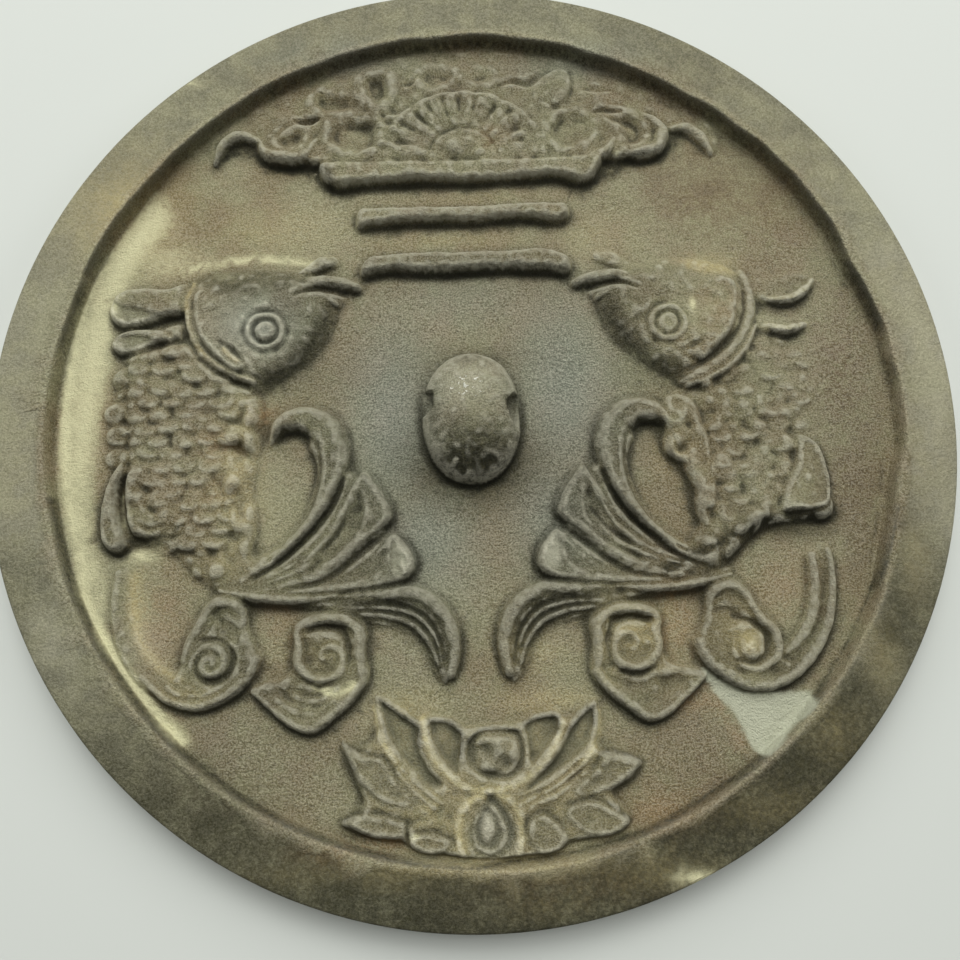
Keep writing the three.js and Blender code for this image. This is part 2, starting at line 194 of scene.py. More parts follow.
@dataclass
class ReliefSheet:
    """A square sheet of heights above the field, in mm, that the relief is drawn on."""

    reach: float = 86.0
    cell: float = 0.2
    height: np.ndarray = field(init=False)
    tones: dict[Tone, np.ndarray] = field(init=False, default_factory=dict)

    def __post_init__(self) -> None:
        """Starts with a bare field, no tones, and the lumps that rough forms take."""
        self.count = int(round(2 * self.reach / self.cell)) + 1
        axis = np.linspace(-self.reach, self.reach, self.count)
        self.x, self.y = np.meshgrid(axis, axis)
        self.height = np.zeros((self.count, self.count))
        self.tones = {tone: np.zeros_like(self.height) for tone in Tone}
        steps = np.fft.rfftfreq(self.count, self.cell)
        rows = np.fft.fftfreq(self.count, self.cell)
        self.waves = rows[:, None] ** 2 + steps[None, :] ** 2
        self.lumps = self.grain(3, 0.8)

    def blur(self, values: np.ndarray, spread: float) -> np.ndarray:
        """Spreads values over a distance in mm."""
        soft = np.exp(-2 * (math.pi * spread) ** 2 * self.waves)
        return np.fft.irfft2(np.fft.rfft2(values) * soft, s=values.shape)

    def grain(self, seed: int, size: float) -> np.ndarray:
        """Makes an even random grain of a size in mm, with a spread of 1 about 0."""
        raw = np.random.default_rng(seed).standard_normal(self.height.shape)
        soft = self.blur(raw, size)
        return soft / soft.std()

    def window(self, curve: np.ndarray, margin: float) -> tuple[slice, slice]:
        """Finds the rows and columns that hold a curve with a margin round it."""
        low = np.floor((curve.min(axis=0) - margin + self.reach) / self.cell).astype(int)
        high = np.ceil((curve.max(axis=0) + margin + self.reach) / self.cell).astype(int)
        low = np.clip(low, 0, self.count - 1)
        high = np.clip(high, 1, self.count)
        return slice(low[1], high[1]), slice(low[0], high[0])

    def nearest(
        self, curve: np.ndarray, part: tuple[slice, slice]
    ) -> tuple[np.ndarray, np.ndarray, np.ndarray]:
        """Measures each cell of a window against a curve.

        Args:
            curve: places along the curve.
            part: the window's rows and columns.

        Returns:
            The distance to the curve, the share of its length at the nearest place, and whether
            the cell is inside it.
        """
        x, y = self.x[part], self.y[part]
        ends = np.diff(curve, axis=0)
        lengths = np.hypot(ends[:, 0], ends[:, 1]) + 1e-9
        runs = np.concatenate([[0.0], np.cumsum(lengths)])
        best = np.full(x.shape, 1e9)
        share = np.zeros(x.shape)
        inside = np.zeros(x.shape, bool)
        for (ax, ay), (ex, ey), length, run in zip(curve[:-1], ends, lengths, runs):
            px, py = x - ax, y - ay
            t = np.clip((px * ex + py * ey) / length**2, 0, 1)
            gap = (px - t * ex) ** 2 + (py - t * ey) ** 2
            nearer = gap < best
            best[nearer] = gap[nearer]
            share[nearer] = (run + t[nearer] * length) / runs[-1]
            if ey:
                inside ^= ((py < 0) != (py < ey)) & (px < py * (ex / ey))
        return np.sqrt(best), share, inside

    def settle(self, part: tuple[slice, slice], form: np.ndarray, lay: Lay) -> None:
        """Lays a form over what is there, or adds it on top."""
        if lay is Lay.OVER:
            self.height[part] = np.maximum(self.height[part], form)
        else:
            self.height[part] += form

    def plate(
        self,
        points: Sequence[Point],
        rise: float,
        lean: float,
        *,
        ease: float = 1.7,
        tilt: Point = (0.0, 0.0),
        sink: float = 0.0,
        wall: float = 0.7,
        rough: float = 0.0,
        lay: Lay = Lay.OVER,
    ) -> None:
        """Raises a form with a smooth outline.

        Args:
            points: the outline at the form's foot.
            rise: its height; less than 0 sinks a hollow.
            lean: how far in from the outline its side reaches that height.
            ease: 1 for a straight side, more for one that rounds over at the top.
            tilt: how much the top gains per mm along X and Y from the outline's middle.
            sink: how deep its middle is dished.
            wall: the width of the dish's side, which starts where the lean ends.
            rough: how lumpy its top is.
            lay: how it meets what is there.
        """
        curve = smooth_curve(points, True)
        part = self.window(curve, 0.5)
        gap, _, inside = self.nearest(curve, part)
        gap = np.where(inside, gap, 0)
        middle = curve.mean(axis=0)
        top = rise + tilt[0] * (self.x[part] - middle[0]) + tilt[1] * (self.y[part] - middle[1])
        if rough:
            top = top + rough * self.lumps[part]
        if rise > 0:
            top = np.maximum(top, 0)
        form = top * (1 - (1 - np.clip(gap / lean, 0, 1)) ** ease)
        if sink:
            t = np.clip((gap - lean) / wall, 0, 1)
            form -= sink * t * t * (3 - 2 * t)
        self.settle(part, form, lay if rise > 0 else Lay.ON)

    def ridge(
        self,
        points: Sequence[Point],
        widths: float | Sequence[float],
        rise: float,
        *,
        full: float = 2.0,
        lay: Lay = Lay.OVER,
        closed: bool = False,
    ) -> None:
        """Raises a rounded ridge along a curve.

        Args:
            points: the curve that it follows.
            widths: its whole width, or several spaced evenly along it.
            rise: its height where it is widest; less than 0 cuts a groove.
            full: 2 for a round back, more for a flatter one.
            lay: how it meets what is there.
            closed: whether it joins up with itself.
        """
        curve = smooth_curve(points, closed)
        wide = np.atleast_1d(np.asarray(widths, float))
        part = self.window(curve, wide.max() / 2 + 0.3)
        gap, share, _ = self.nearest(curve, part)
        half = wide[0] / 2
        if len(wide) > 1:
            half = np.interp(share, np.linspace(0, 1, len(wide)), wide) / 2
        across = np.clip(gap / np.maximum(half, 0.05), 0, 1)
        form = rise * (2 * half / wide.max()) ** 0.6 * np.sqrt(1 - across**full)
        self.settle(part, form, lay if rise > 0 else Lay.ON)

    def groove(
        self, points: Sequence[Point], widths: float | Sequence[float], depth: float
    ) -> None:
        """Cuts a rounded groove along a curve."""
        self.ridge(points, widths, -depth)

    def mask(self, points: Sequence[Point], soft: float) -> np.ndarray:
        """Makes a map that is 1 inside an outline and falls to 0 a distance outside it."""
        curve = smooth_curve(points, True, 1.0)
        part = self.window(curve, soft)
        gap, _, inside = self.nearest(curve, part)
        made = np.zeros_like(self.height)
        made[part] = np.where(inside, 1, np.clip(1 - gap / soft, 0, 1))
        return made

    def comb(
        self, first: Sequence[Point], last: Sequence[Point], count: int, width: float, depth: float
    ) -> None:
        """Cuts even grooves from one curve across to another with as many points."""
        for i in range(count):
            share = (i + 0.5) / count
            line = [(a[0] + (b[0] - a[0]) * share, a[1] + (b[1] - a[1]) * share) for a,
                b in zip(first, last)]
            self.groove(line, [0.4 * width, width, width, 0.5 * width], depth)

    def dish(self, points: Sequence[Point], sink: float, lip: float, width: float = 2.8) -> None:
        """Hollows a leaf out of the ground, with a raised lip round it."""
        self.ridge(points, width, lip, lay=Lay.ON, closed=True)
        self.plate(points, -0.8 * sink, 1.9, ease=1.4)

    def boss(
        self, x: float, y: float, half_x: float, half_y: float, rise: float,
        *, turn: float = 0.0, full: float = 2.0, lay: Lay = Lay.OVER,
    ) -> None:
        """Raises an oval boss, or with a rise below 0 sinks an oval hollow.

        Args:
            x: its middle along X.
            y: its middle along Y.
            half_x: half its width.
            half_y: half its length.
            rise: its height.
            turn: degrees that it is turned.
            full: 2 for a dome, more for a flatter top.
            lay: how it meets what is there.
        """
        reach = max(half_x, half_y)
        part = self.window(np.array([[x - reach, y - reach], [x + reach, y + reach]]), 0.3)
        c, s = math.cos(math.radians(turn)), math.sin(math.radians(turn))
        px, py = self.x[part] - x, self.y[part] - y
        across = np.hypot((px * c + py * s) / half_x, (py * c - px * s) / half_y)
        form = rise * np.sqrt(np.clip(1 - across**full, 0, 1))
        self.settle(part, form, lay if rise > 0 else Lay.ON)

    def coat(self, tone: Tone, part: tuple[slice, slice], strength: np.ndarray) -> None:
        """Lays a tone over a window where it is stronger than what is there."""
        held = self.tones[tone]
        held[part] = np.maximum(held[part], strength)

    def tint(self, **tones: Sequence[tuple[float, float, float, float, float]]) -> None:
        """Adds soft spots of tones, each as x, y, half width, half length and strength."""
        for name, spots in tones.items():
            for x, y, half_x, half_y, strength in spots:
                reach = 2.4 * max(half_x, half_y)
                part = self.window(np.array([[x - reach, y - reach], [x + reach, y + reach]]), 0)
                gap = ((self.x[part] - x) / half_x) ** 2 + ((self.y[part] - y) / half_y) ** 2
                self.coat(Tone(name), part, strength * np.exp(-0.8 * gap))

    def tint_along(self, points: Sequence[Point], width: float, **strengths: float) -> None:
        """Adds soft streaks of tones along a curve, each named with its strength."""
        curve = smooth_curve(points, False, 1.5)
        part = self.window(curve, 1.6 * width)
        gap, _, _ = self.nearest(curve, part)
        for name, strength in strengths.items():
            self.coat(Tone(name), part, strength * np.exp(-2.2 * (gap / width) ** 2))

    def tint_plate(self, points: Sequence[Point], soft: float, **strengths: float) -> None:
        """Adds tones inside an outline with a soft edge, each named with its strength."""
        curve = smooth_curve(points, True, 1.0)
        part = self.window(curve, 3 * soft)
        gap, _, inside = self.nearest(curve, part)
        cover = 1 + np.exp(-3 * np.where(inside, gap, -gap) / soft)
        for name, strength in strengths.items():
            self.coat(Tone(name), part, strength / cover)

    def wear(self, spread: float) -> None:
        """Rubs the whole sheet smooth over a distance in mm."""
        self.height = self.blur(self.height, spread)

    def at(self, values: np.ndarray, x: np.ndarray, y: np.ndarray) -> np.ndarray:
        """Reads a map between its cells.

        Args:
            values: the map.
            x: places along X, in mm.
            y: places along Y, in mm.

        Returns:
            The values there.
        """
        column = np.clip((x + self.reach) / self.cell, 0, self.count - 1.001)
        row = np.clip((y + self.reach) / self.cell, 0, self.count - 1.001)
        i, j = row.astype(int), column.astype(int)
        v, u = row - i, column - j
        low = values[i, j] * (1 - u) + values[i, j + 1] * u
        high = values[i + 1, j] * (1 - u) + values[i + 1, j + 1] * u
        return low * (1 - v) + high * v


# ---- relief


@dataclass(frozen=True)
class Fish:
    """A fish that curls round one side of the field, from its open mouth to its forked tail."""

    side: Side
    head_rise: float = 3.4
    body_rise: float = 1.25
    fin_rise: float = 2.4
    crook_rise: float = 2.9
    lobe_rise: float = 2.4
    scale_width: float = 4.2
    scale_row: float = 2.3
    scale_rise: float = 1.35

    def draw(self, sheet: ReliefSheet) -> None:
        """Draws the fish from its back to its front, so that what overlaps comes last."""
        self.draw_body(sheet)
        self.draw_scales(sheet)
        self.draw_belly(sheet)
        self.draw_back_fin(sheet)
        self.draw_low_fins(sheet)
        self.draw_crook(sheet)
        self.draw_lobes(sheet)
        self.draw_tail(sheet)
        self.draw_head(sheet)
        self.draw_mouth(sheet)
        self.draw_eye(sheet)

    def outline(self) -> list[Point]:
        """Gives the outline of the scaled body as [out, up] points."""
        if self.side is Side.LEFT:
            return [(50, 16), (56, 15), (61.4, 12.6), (62.6, 7), (61.4, 1), (61, -6), (60, -13),
                (57.4, -19.2), (53.4, -22.4), (49, -26.4), (45.4, -29.6), (39, -30.8), (35, -30.4),
                (36.8, -25.4), (40.6, -20), (41.2, -14), (40.4, -7), (39, -1), (38.4, 5.4),
                (44, 9),]
        return [(51, 16), (56, 13), (60.6, 9.6), (62, 2), (61, -4), (61.4, -14), (62.2, -19.6),
            (57, -20.8), (51.4, -21), (47.6, -23.4), (44, -27), (39.6, -29.6), (33.4, -31.4),
            (31.6, -30), (36.4, -25), (39.6, -20), (39.2, -15), (37.6, -10), (35.4, -7.4),
            (34.4, -2), (36.4, 4), (43, 8.4),]

    def draw_body(self, sheet: ReliefSheet) -> None:
        """Draws the body under the scales, with the barbs on its outer side."""
        left, on = self.side is Side.LEFT, self.side.place
        if left:
            sheet.plate(on(self.outline()), self.body_rise, 2.2, rough=0.18)
            for out, up, half in ((62.2, 8.6, 1.9), (63.4, 2.2, 2.1), (62.8, -1.9, 2.1),
                    (62.8, -5.9, 1.9)):
                sheet.boss(AXIS_X - out, up, 2.2, half, 1.2, full=3)
            return
        sheet.plate(on(self.outline()), self.body_rise, 2.6, rough=0.3, tilt=(-0.02, -0.065))
        under = [(63, -16.4), (57, -16), (50.6, -16), (44.4, -19.8), (39.6, -24), (34.4, -28.6)]
        sheet.plate(on(under + [(38, -31.2), (43.6, -28.4), (47.4, -24.6), (52, -21.8), (58, -21.2),
            (63.2, -20.6)]), 2.5, 2.6, rough=0.5)
        # Painted shadow along the body's lower edge.
        sheet.tint_along(on([(63, -20.6), (57, -20.9), (51, -21.4), (46.4, -24.4), (42, -28)]), 1.6,
            dark=1)

    def draw_scales(self, sheet: ReliefSheet) -> None:
        """Lays rows of overlapping scales down the body, each proud at its lower edge."""
        left = self.side is Side.LEFT
        rng = np.random.default_rng(11 if left else 23)
        keep = sheet.mask(self.side.place(self.outline()), 1.3)
        layer = np.zeros_like(sheet.height)
        for row in range(16):
            up = 13.4 - row * self.scale_row
            middle = 53.2 - max(0, -up - 6) * 0.4
            for column in range(-3, 4):
                out = middle + (column + (row % 2) / 2) * self.scale_width + rng.uniform(-0.5, 0.5)
                x, y = AXIS_X + self.side.value * out, up + rng.uniform(-0.45, 0.45)
                half = self.scale_width * rng.uniform(0.5, 0.62)
                rise = self.scale_rise * rng.uniform(0.6, 1.15) * (1 if left else 0.62)
                turn = math.radians(rng.uniform(-20, 14) * -self.side.value)
                if out < 42.4 or rng.random() < (0.04 if left else 0.2):
                    continue
                part = sheet.window(np.array([[x - half, y - half], [x + half, y + half]]), 0.3)
                px, py = (sheet.x[part] - x) / half, (sheet.y[part] - y) / (half * 0.78)
                c, s = math.cos(turn), math.sin(turn)
                px, py = px * c + py * s, py * c - px * s
                lobe = np.clip(1 - (px * px + py * py) ** 2, 0, 1) ** 0.45
                layer[part] = np.maximum(layer[part], rise * np.clip(0.5 - 0.62 * py, 0, 1) * lobe)
        sheet.height += layer * keep

    def draw_belly(self, sheet: ReliefSheet) -> None:
        """Draws the lumpy strip down the belly and the beads where the body ends."""
        on = self.side.place
        if self.side is Side.LEFT:
            strip = [(37.8, 5), (41.4, 5), (44.6, 0), (45.4, -8), (44.8, -16), (42.6, -22),
                (39.4, -26), (37.8, -20), (38.6, -12), (37.4, -4)]
            sheet.plate(on(strip), 1.7, 2.4, rough=0.5)
            for out, up, half in ((41.6, 3.2, 1.8), (39.2, 0.6, 1.5), (42, -2.4, 1.7),
                    (41, -7.5, 1.6), (42.4, -11.4, 1.7)):
                sheet.boss(AXIS_X - out, up, half, half * 1.2, 0.6, lay=Lay.ON)
        else:
            strip = [(35.4, 3), (39.4, 2.6), (42, -2), (43, -9), (43, -17), (40.4, -22),
                (38.8, -19), (38.4, -14), (36.6, -10), (34.4, -8.2), (34, -3)]
            sheet.plate(on(strip), 2.1, 1.2, rough=0.5)
            for out, up, half in ((36.6, -1, 1.9), (37.4, -5.4, 1.8), (39.6, -12, 2),
                    (40.6, -16.4, 1.8), (44, -11, 2.2)):
                sheet.boss(AXIS_X + out, up, half, half * 1.2, 0.5, lay=Lay.ON)
        beads = ((47.1, -22.6, 1.8, 1.9), (44.4, -26.4, 1.9, 2.4), (47.8, -26.2, 1.3, 1.4),
            (51.4, -21.4, 1.6, 1.6))
        for out, up, half, rise in beads if self.side is Side.LEFT else ():
            sheet.boss(AXIS_X - out, up, half, half, rise, full=2.6)
        folds = [
            [(42.6, -27.4), (39.6, -28), (36.4, -29.2)],
            [(44, -28.8), (40, -29.8), (36, -30.2)],
            [(41.4, -25.4), (38.4, -26.4), (35.4, -28)],
        ]
        for fold in folds:
            sheet.ridge(on(fold), [0.6, 1.5, 0.8], 2)

    def draw_back_fin(self, sheet: ReliefSheet) -> None:
        """Draws the two prongs of the back fin, smooth and grey where they were handled."""
        on = self.side.place
        if self.side is Side.LEFT:
            upper = [(51.4, 26.8), (54.6, 25.8), (59, 26.1), (62.6, 25.7), (64.8, 24), (65.4, 21.4),
                (64, 18.8), (61.4, 18), (58, 18.7), (55, 19.9), (51.4, 20.6)]
            lower = [(51.8, 18.8), (56.2, 18.1), (60.4, 18.1), (63.6, 17), (64.8, 15), (63.2, 13.1),
                (60, 13.2), (56.4, 14.6), (51.8, 15.8)]
            sheet.plate(on(lower), self.fin_rise - 0.1, 1)
            sheet.plate(on(upper), self.fin_rise, 0.9, tilt=(0, -0.03))
            facets = (
                [(64.9, 23.4), (62.6, 22.3), (59, 21.4), (55.6, 20.2), (59.6, 18.7), (63, 18.5),
                    (64.9, 20.6)],
                [(64.2, 15.8), (61.4, 16.6), (58.6, 16.4), (56.6, 15.6), (59.6, 13.8),
                    (63.2, 13.6)],
            )
            for facet in facets:
                sheet.plate(on(facet), -0.45, 0.5)
                sheet.tint_plate(on(facet), 0.5, smooth=0.8, slate=0.7)
            sheet.groove(on([(53.8, 16.4), (57, 18.6), (60.6, 18)]), [0.6, 1.1, 0.6], 0.9)
        else:
            upper = [(52.4, 25.6), (57, 26), (61.6, 26.6), (64.8, 25.8), (65, 23.8), (62.6, 21),
                (59.4, 19.6), (55.8, 19.8), (52.4, 21)]
            lower = [(52.8, 18.4), (57, 17.4), (61.2, 17.2), (63, 15.6), (60.6, 13.8), (57, 13.8),
                (53.4, 15)]
            sheet.plate(on(upper), 0.9, 1.6, tilt=(0.03, -0.16))
            sheet.plate(on(lower), 0.9, 1.3, tilt=(0, -0.2))
            edges = (
                [(55.4, 20.7), (59, 20.5), (62, 21.9), (64.6, 24.4)],
                [(54.6, 15.7), (58, 14.6), (62.2, 15.6)],
            )
            for edge in edges:
                sheet.ridge(on(edge), [0.9, 2.2, 2.3, 1], 2.2)
                sheet.tint_along(on(edge), 1.2, smooth=0.9)

    def draw_low_fins(self, sheet: ReliefSheet) -> None:
        """Draws the fins low on the flank: a paddle under a blade, or a worn block."""
        on = self.side.place
        if self.side is Side.LEFT:
            blade = [(61.6, -6.6), (63.6, -9.6), (64.8, -14.4), (64.9, -19), (63.8, -22),
                (61.6, -23), (59.8, -21.4), (60.8, -17.4), (61.4, -12.4), (60.6, -8.4)]
            paddle = [(60.4, -8.2), (61.2, -12.6), (60.8, -16.6), (59.6, -19.6), (56.4, -20.8),
                (53, -20.2), (50.8, -17.4), (50.4, -13.4), (53.4, -9.4)]
            sheet.plate(on(paddle), 2.3, 1.3, rough=0.35)
            sheet.plate(on(blade), 2.9, 1.1)
            sheet.groove(on([(61, -9.4), (61.4, -13), (60.9, -17), (59.8, -20.4)]),
                [0.7, 1.2, 1.4, 0.8], 1.7)
            sheet.tint_along(on([(61.4, -10.6), (61.5, -14), (60.9, -18)]), 0.8, pale=0.8)
            for arc in ([(58.6, -10.6), (56.6, -12.2), (54.4, -11.6)],
                    [(57.6, -14), (55.4, -15.8), (52.6, -14.8)],
                    [(58.4, -17.6), (56, -18.9), (53.6, -18.2)]):
                sheet.groove(on(arc), [0.5, 1.3, 0.5], 0.7)
            # Painted shadow under the paddle.
            sheet.tint_along(on([(60, -20.6), (56.6, -21.4), (53, -20.8), (51, -18.4)]), 1, dark=1)
        else:
            block = [(58.2, -5.2), (61.2, -6.6), (62.6, -10.6), (62.8, -16.4), (61.8, -19),
                (57, -19.6), (53.4, -19.4), (54.4, -14.6), (56.8, -10.4), (57.2, -7.2)]
            sheet.plate(on(block), 3, 0.9, tilt=(0, -0.02))
            face = [(58.8, -7), (60.6, -7.4), (61.6, -12), (61.4, -17.6), (56.4, -18.4),
                (54.8, -17), (57.6, -11.6)]
            sheet.plate(on(face), -0.18, 0.6)
            sheet.tint_plate(on(face), 0.5, smooth=0.6)
            sheet.tint_plate(on(face), 0.6, slate=0.2)
            sheet.ridge(on([(61.8, -7), (62.3, -12), (62, -17.6)]), [0.6, 1, 0.6], 0.5, lay=Lay.ON)
            sheet.groove(on([(59.6, -8), (60.2, -12), (59.4, -15.6)]), [0.4, 0.8, 0.4], 0.3)

    def draw_crook(self, sheet: ReliefSheet) -> None:
        """Draws the ground behind the tail, and the fin that curls over the belly."""
        on = self.side.place
        base = [
            (29.2, -5), (28.2, -1.8), (24.2, -1.6), (22.2, -5.4), (21.9, -8.8), (19.6, -10.4),
            (16.8, -13), (15, -16), (14.7, -18.6), (15.2, -20.4), (12.2, -22.4), (10.9, -24.8),
            (10.9, -27.2), (12.8, -29.2), (17, -30.3), (24, -31), (33, -31.4), (41, -30.4),
            (41.4, -27.4), (37.8, -24.4), (34, -21.4), (30.4, -17.4), (28.4, -12.6), (27.8, -8.4),
        ]
        sheet.plate(on(base), 1.75, 1.4)
        crook = [
            (35.9, -4.4), (35.9, -0.8), (33.8, 1.7), (30.4, 2.8), (26.8, 2.3), (23.6, 0.1),
            (21.9, -3.8), (21.5, -8), (22.6, -12.6), (25.2, -17.2), (28.8, -21.4), (33, -25),
            (37.4, -27.8), (35.6, -24), (31.8, -20), (28.9, -15.4), (27.7, -10), (28, -5.4),
            (30, -2.8), (33, -2.6),
        ]
        sheet.plate(on(crook), self.crook_rise, 2, ease=2)
        sheet.ridge(on([(35, -2.4), (34, 0), (30.6, 1.4), (26.8, 0.4), (24.2, -3.8), (23.9, -9),
            (25.4, -14.4), (28.9, -19.4), (34.4, -24.2)]), [1.2, 2, 2.2, 2, 1], 0.35, lay=Lay.ON)
        sheet.comb(on([(26.4, -4), (26.2, -10), (27.6, -15.4), (31, -20.2), (36, -24.6)]),
            on([(29.4, -5.6), (28.6, -10), (30, -14.6), (32.8, -18.6), (37, -22.6)]), 2, 1.1, 0.8)

    def draw_lobes(self, sheet: ReliefSheet) -> None:
        """Draws the two leaf-shaped lobes under the crook, hollow and ribbed."""
        on, lean_in = self.side.place, -self.side.value
        left = self.side is Side.LEFT
        lobe = [
            (19.3, -9.4), (16.6, -12.2), (14.7, -15.6), (14.2, -18), (15.5, -20), (18.8, -22.6),
            (23.4, -26.4), (28.4, -29.4), (33.6, -29.6), (31.4, -25), (26.8, -20.4), (23.6, -15.6),
            (21.6, -12),
        ]
        sheet.plate(on(lobe), self.lobe_rise, 1.1, tilt=(0.04 * lean_in, 0.03))
        sheet.plate(on([(20.2, -13), (18.9, -15.2), (19.2, -19), (21.4, -22.4), (24.8, -25.4),
            (29.6, -27.6), (27.2, -23.4), (24, -19), (21.8, -15.4)]), -1.15, 1.3, ease=1.5)
        sheet.comb(on([(21.2, -16), (23.6, -21), (28.6, -26)]),
            on([(23, -16), (26.4, -20.8), (31, -25)]), 2, 0.9, 0.5)
        sheet.groove(on(
            [(22.9, -11), (24.3, -14.8), (27, -18.9), (30.6, -22.6), (34.6, -25.8), (38, -27.8)]),
            [0.9, 1.3, 1.2, 1, 0.5], 1.1)
        low = [
            (14.2, -20.6), (11.8, -22.6), (10.5, -24.8), (10.4, -27.4), (12.3, -29.4),
            (16.4, -30.5), (22, -31.1), (28, -31.3), (34, -31), (33, -29.4), (27.4, -28.7),
            (21.8, -26.8), (17.6, -23.6),
        ]
        sheet.plate(on(low), self.lobe_rise, 1.1, tilt=(0.05 * lean_in, 0))
        sheet.plate(on([(15.4, -23.2), (15.3, -26), (17.4, -28.2), (22, -29.5), (28, -30),
            (25, -28), (19.6, -25.6)]), -0.85, 1.1, ease=1.5)
        facet = [(13.8, -22), (11.9, -24.2), (11.7, -26.8), (13.8, -28), (14.8, -25)]
        sheet.tint_plate(on(facet), 0.6, smooth=1, slate=0.5 if left else 1)
        sheet.tint_plate(on(facet), 0.6, bright=0.12 if left else 0.3)
        sheet.groove(on([(14.8, -20.3), (18.2, -22.9), (22.6, -26.4), (27, -29), (33, -30)]),
            [0.9, 1.4, 1.3, 1, 0.5], 1.2)
        sheet.comb(on([(29, -20.6), (33.4, -24.6), (39.6, -28)]),
            on([(30, -28.4), (34.6, -29.4), (40.6, -30.4)]), 4, 0.9, 0.6)
        if not left:
            sheet.comb(on([(24.6, -12.6), (27.6, -18), (32.4, -22.4), (37, -25)]),
                on([(17.6, -20.4), (22, -24), (28, -26.8), (35, -28.6)]), 4, 1.1, 0.75)

    def draw_tail(self, sheet: ReliefSheet) -> None:
        """Draws the tail, a broad strand of ridges that sweeps in under the lobes."""
        on = self.side.place
        tail = [
            (42, -30.2), (34, -31.4), (26, -31), (19, -30.4), (12.6, -30.2), (8.6, -30.9),
            (5.4, -33.8), (3.2, -38), (3.1, -42.4), (4.2, -45.8), (6, -46.9), (7.9, -44.6),
            (9.4, -40.8), (12.4, -37.8), (16.6, -36.6), (21, -35.8), (27, -33.8), (34, -33.2),
            (41, -32),
        ]
        sheet.plate(on(tail), 1.7, 1.8)
        sheet.plate(on([(20, -33.4), (14.6, -33), (10.2, -34.2), (7, -37.4), (6, -41.4), (8, -42),
            (9.4, -38.6), (12.6, -36.4), (17.6, -35.4)]), -0.4, 1.4, ease=1.4)
        strands = on([(21, -32.4), (14, -32.4), (9.4, -34), (6.4, -38), (5.6, -43)])
        inner = on([(20, -35.6), (15.8, -36.4), (11.9, -38), (9.2, -41), (7.4, -44.8)])
        sheet.comb(strands, inner, 3, 1.1, 0.8)
        # Painted shade between the strands, and over the whole tail.
        sheet.tint_plate(strands + inner[::-1], 1.2, soot=0.75)
        sheet.tint_plate(on(tail), 1, dark=0.9)
        sheet.ridge(on([(24, -31.4), (16, -31.2), (10.6, -31.5), (7, -33.8), (4.9, -37.4),
            (4.4, -41.8), (5, -45)]), [1.2, 2.6, 3.2, 3, 2], 2.7)
        sheet.ridge(on([(44, -29.8), (38, -31), (31, -31.7), (24, -31.2)]), [1, 2.2, 2, 1.2], 2.6)

    def draw_head(self, sheet: ReliefSheet) -> None:
        """Draws the domed head with its brow, its cheek and its gill."""
        on = self.side.place
        left = self.side is Side.LEFT
        head = [
            (20.2, 25.3), (24, 26.6), (29, 28.3), (34, 29.5), (39.5, 29.8), (45.6, 28.9),
            (50.6, 26.8), (52.6, 23), (52.2, 17.6), (50, 13), (46.2, 9), (41.6, 6), (38.6, 5),
            (34, 7.8), (29.4, 11), (26, 14.6), (24.3, 18.6), (23.3, 21.8),
        ]
        band = [(51.4, 27.2), (53.5, 23.4), (53.6, 18.6), (52.2, 14.2), (48.8, 9.4), (44.8, 6.2),
            (40, 4.4), (37.6, 5.2), (41.4, 9), (46, 12), (49.4, 16), (50.2, 21), (49.6, 26)]
        if not left:
            sheet.plate(on(band), 1.9, 1.6)
        sheet.plate(on(head), self.head_rise if left else self.head_rise - 0.25, 5.4, ease=1.6,
            rough=0.05 if left else 0.16)
        cheek = [(30, 21.8), (31.6, 17.2), (34.4, 13.2), (38.2, 9.9), (41.8, 8.4), (45.4, 10.9),
            (48.4, 14.4), (49.8, 19), (49.7, 24.4), (44, 25.4), (38, 25.8), (32, 25.4)]
        sheet.plate(on(cheek), 3.25, 1.2, ease=2, tilt=(0, -0.02), rough=0 if left else 0.12)
        sheet.ridge(on([(49.4, 19.6), (43, 22.6), (36.6, 24.4), (29.4, 25.6)]), [0.8, 2.4, 2.4, 1],
            0.2, lay=Lay.ON)
        gill = [(50.4, 27), (51, 22), (50.5, 17.2), (48.2, 13.2), (45.2, 10.2), (41.8, 8.2),
            (38.8, 7.2)]
        if left:
            sheet.ridge(on(gill), [0.6, 0.9, 1, 1.1, 1], 0.5, lay=Lay.ON)
            sheet.groove(on([(out + 1, up - 0.6) for out, up in gill]), [0.5, 0.9, 0.9, 0.9], 0.7)
            sheet.groove(on([(out - 1.1, up + 0.4) for out, up in gill]), [0.4, 0.7, 0.8, 0.8],
                0.35)
            sheet.ridge(on([(51.2, 13.6), (47.8, 9.4), (43.8, 6.4), (39.8, 5.2)]), [1, 2, 2.2, 1.4],
                2.1)
            sheet.tint_along(on(gill), 0.5, tan=0.9)
        else:
            sheet.groove(on(gill), [0.5, 0.9, 0.9, 1.2, 1.4, 0.7], 0.45)
            sheet.ridge(on([(53, 15.8), (50.6, 11.4), (47, 7.9), (43, 5.8), (39.4, 4.6)]),
                [0.8, 1.6, 1.8, 1.2], 1.9)

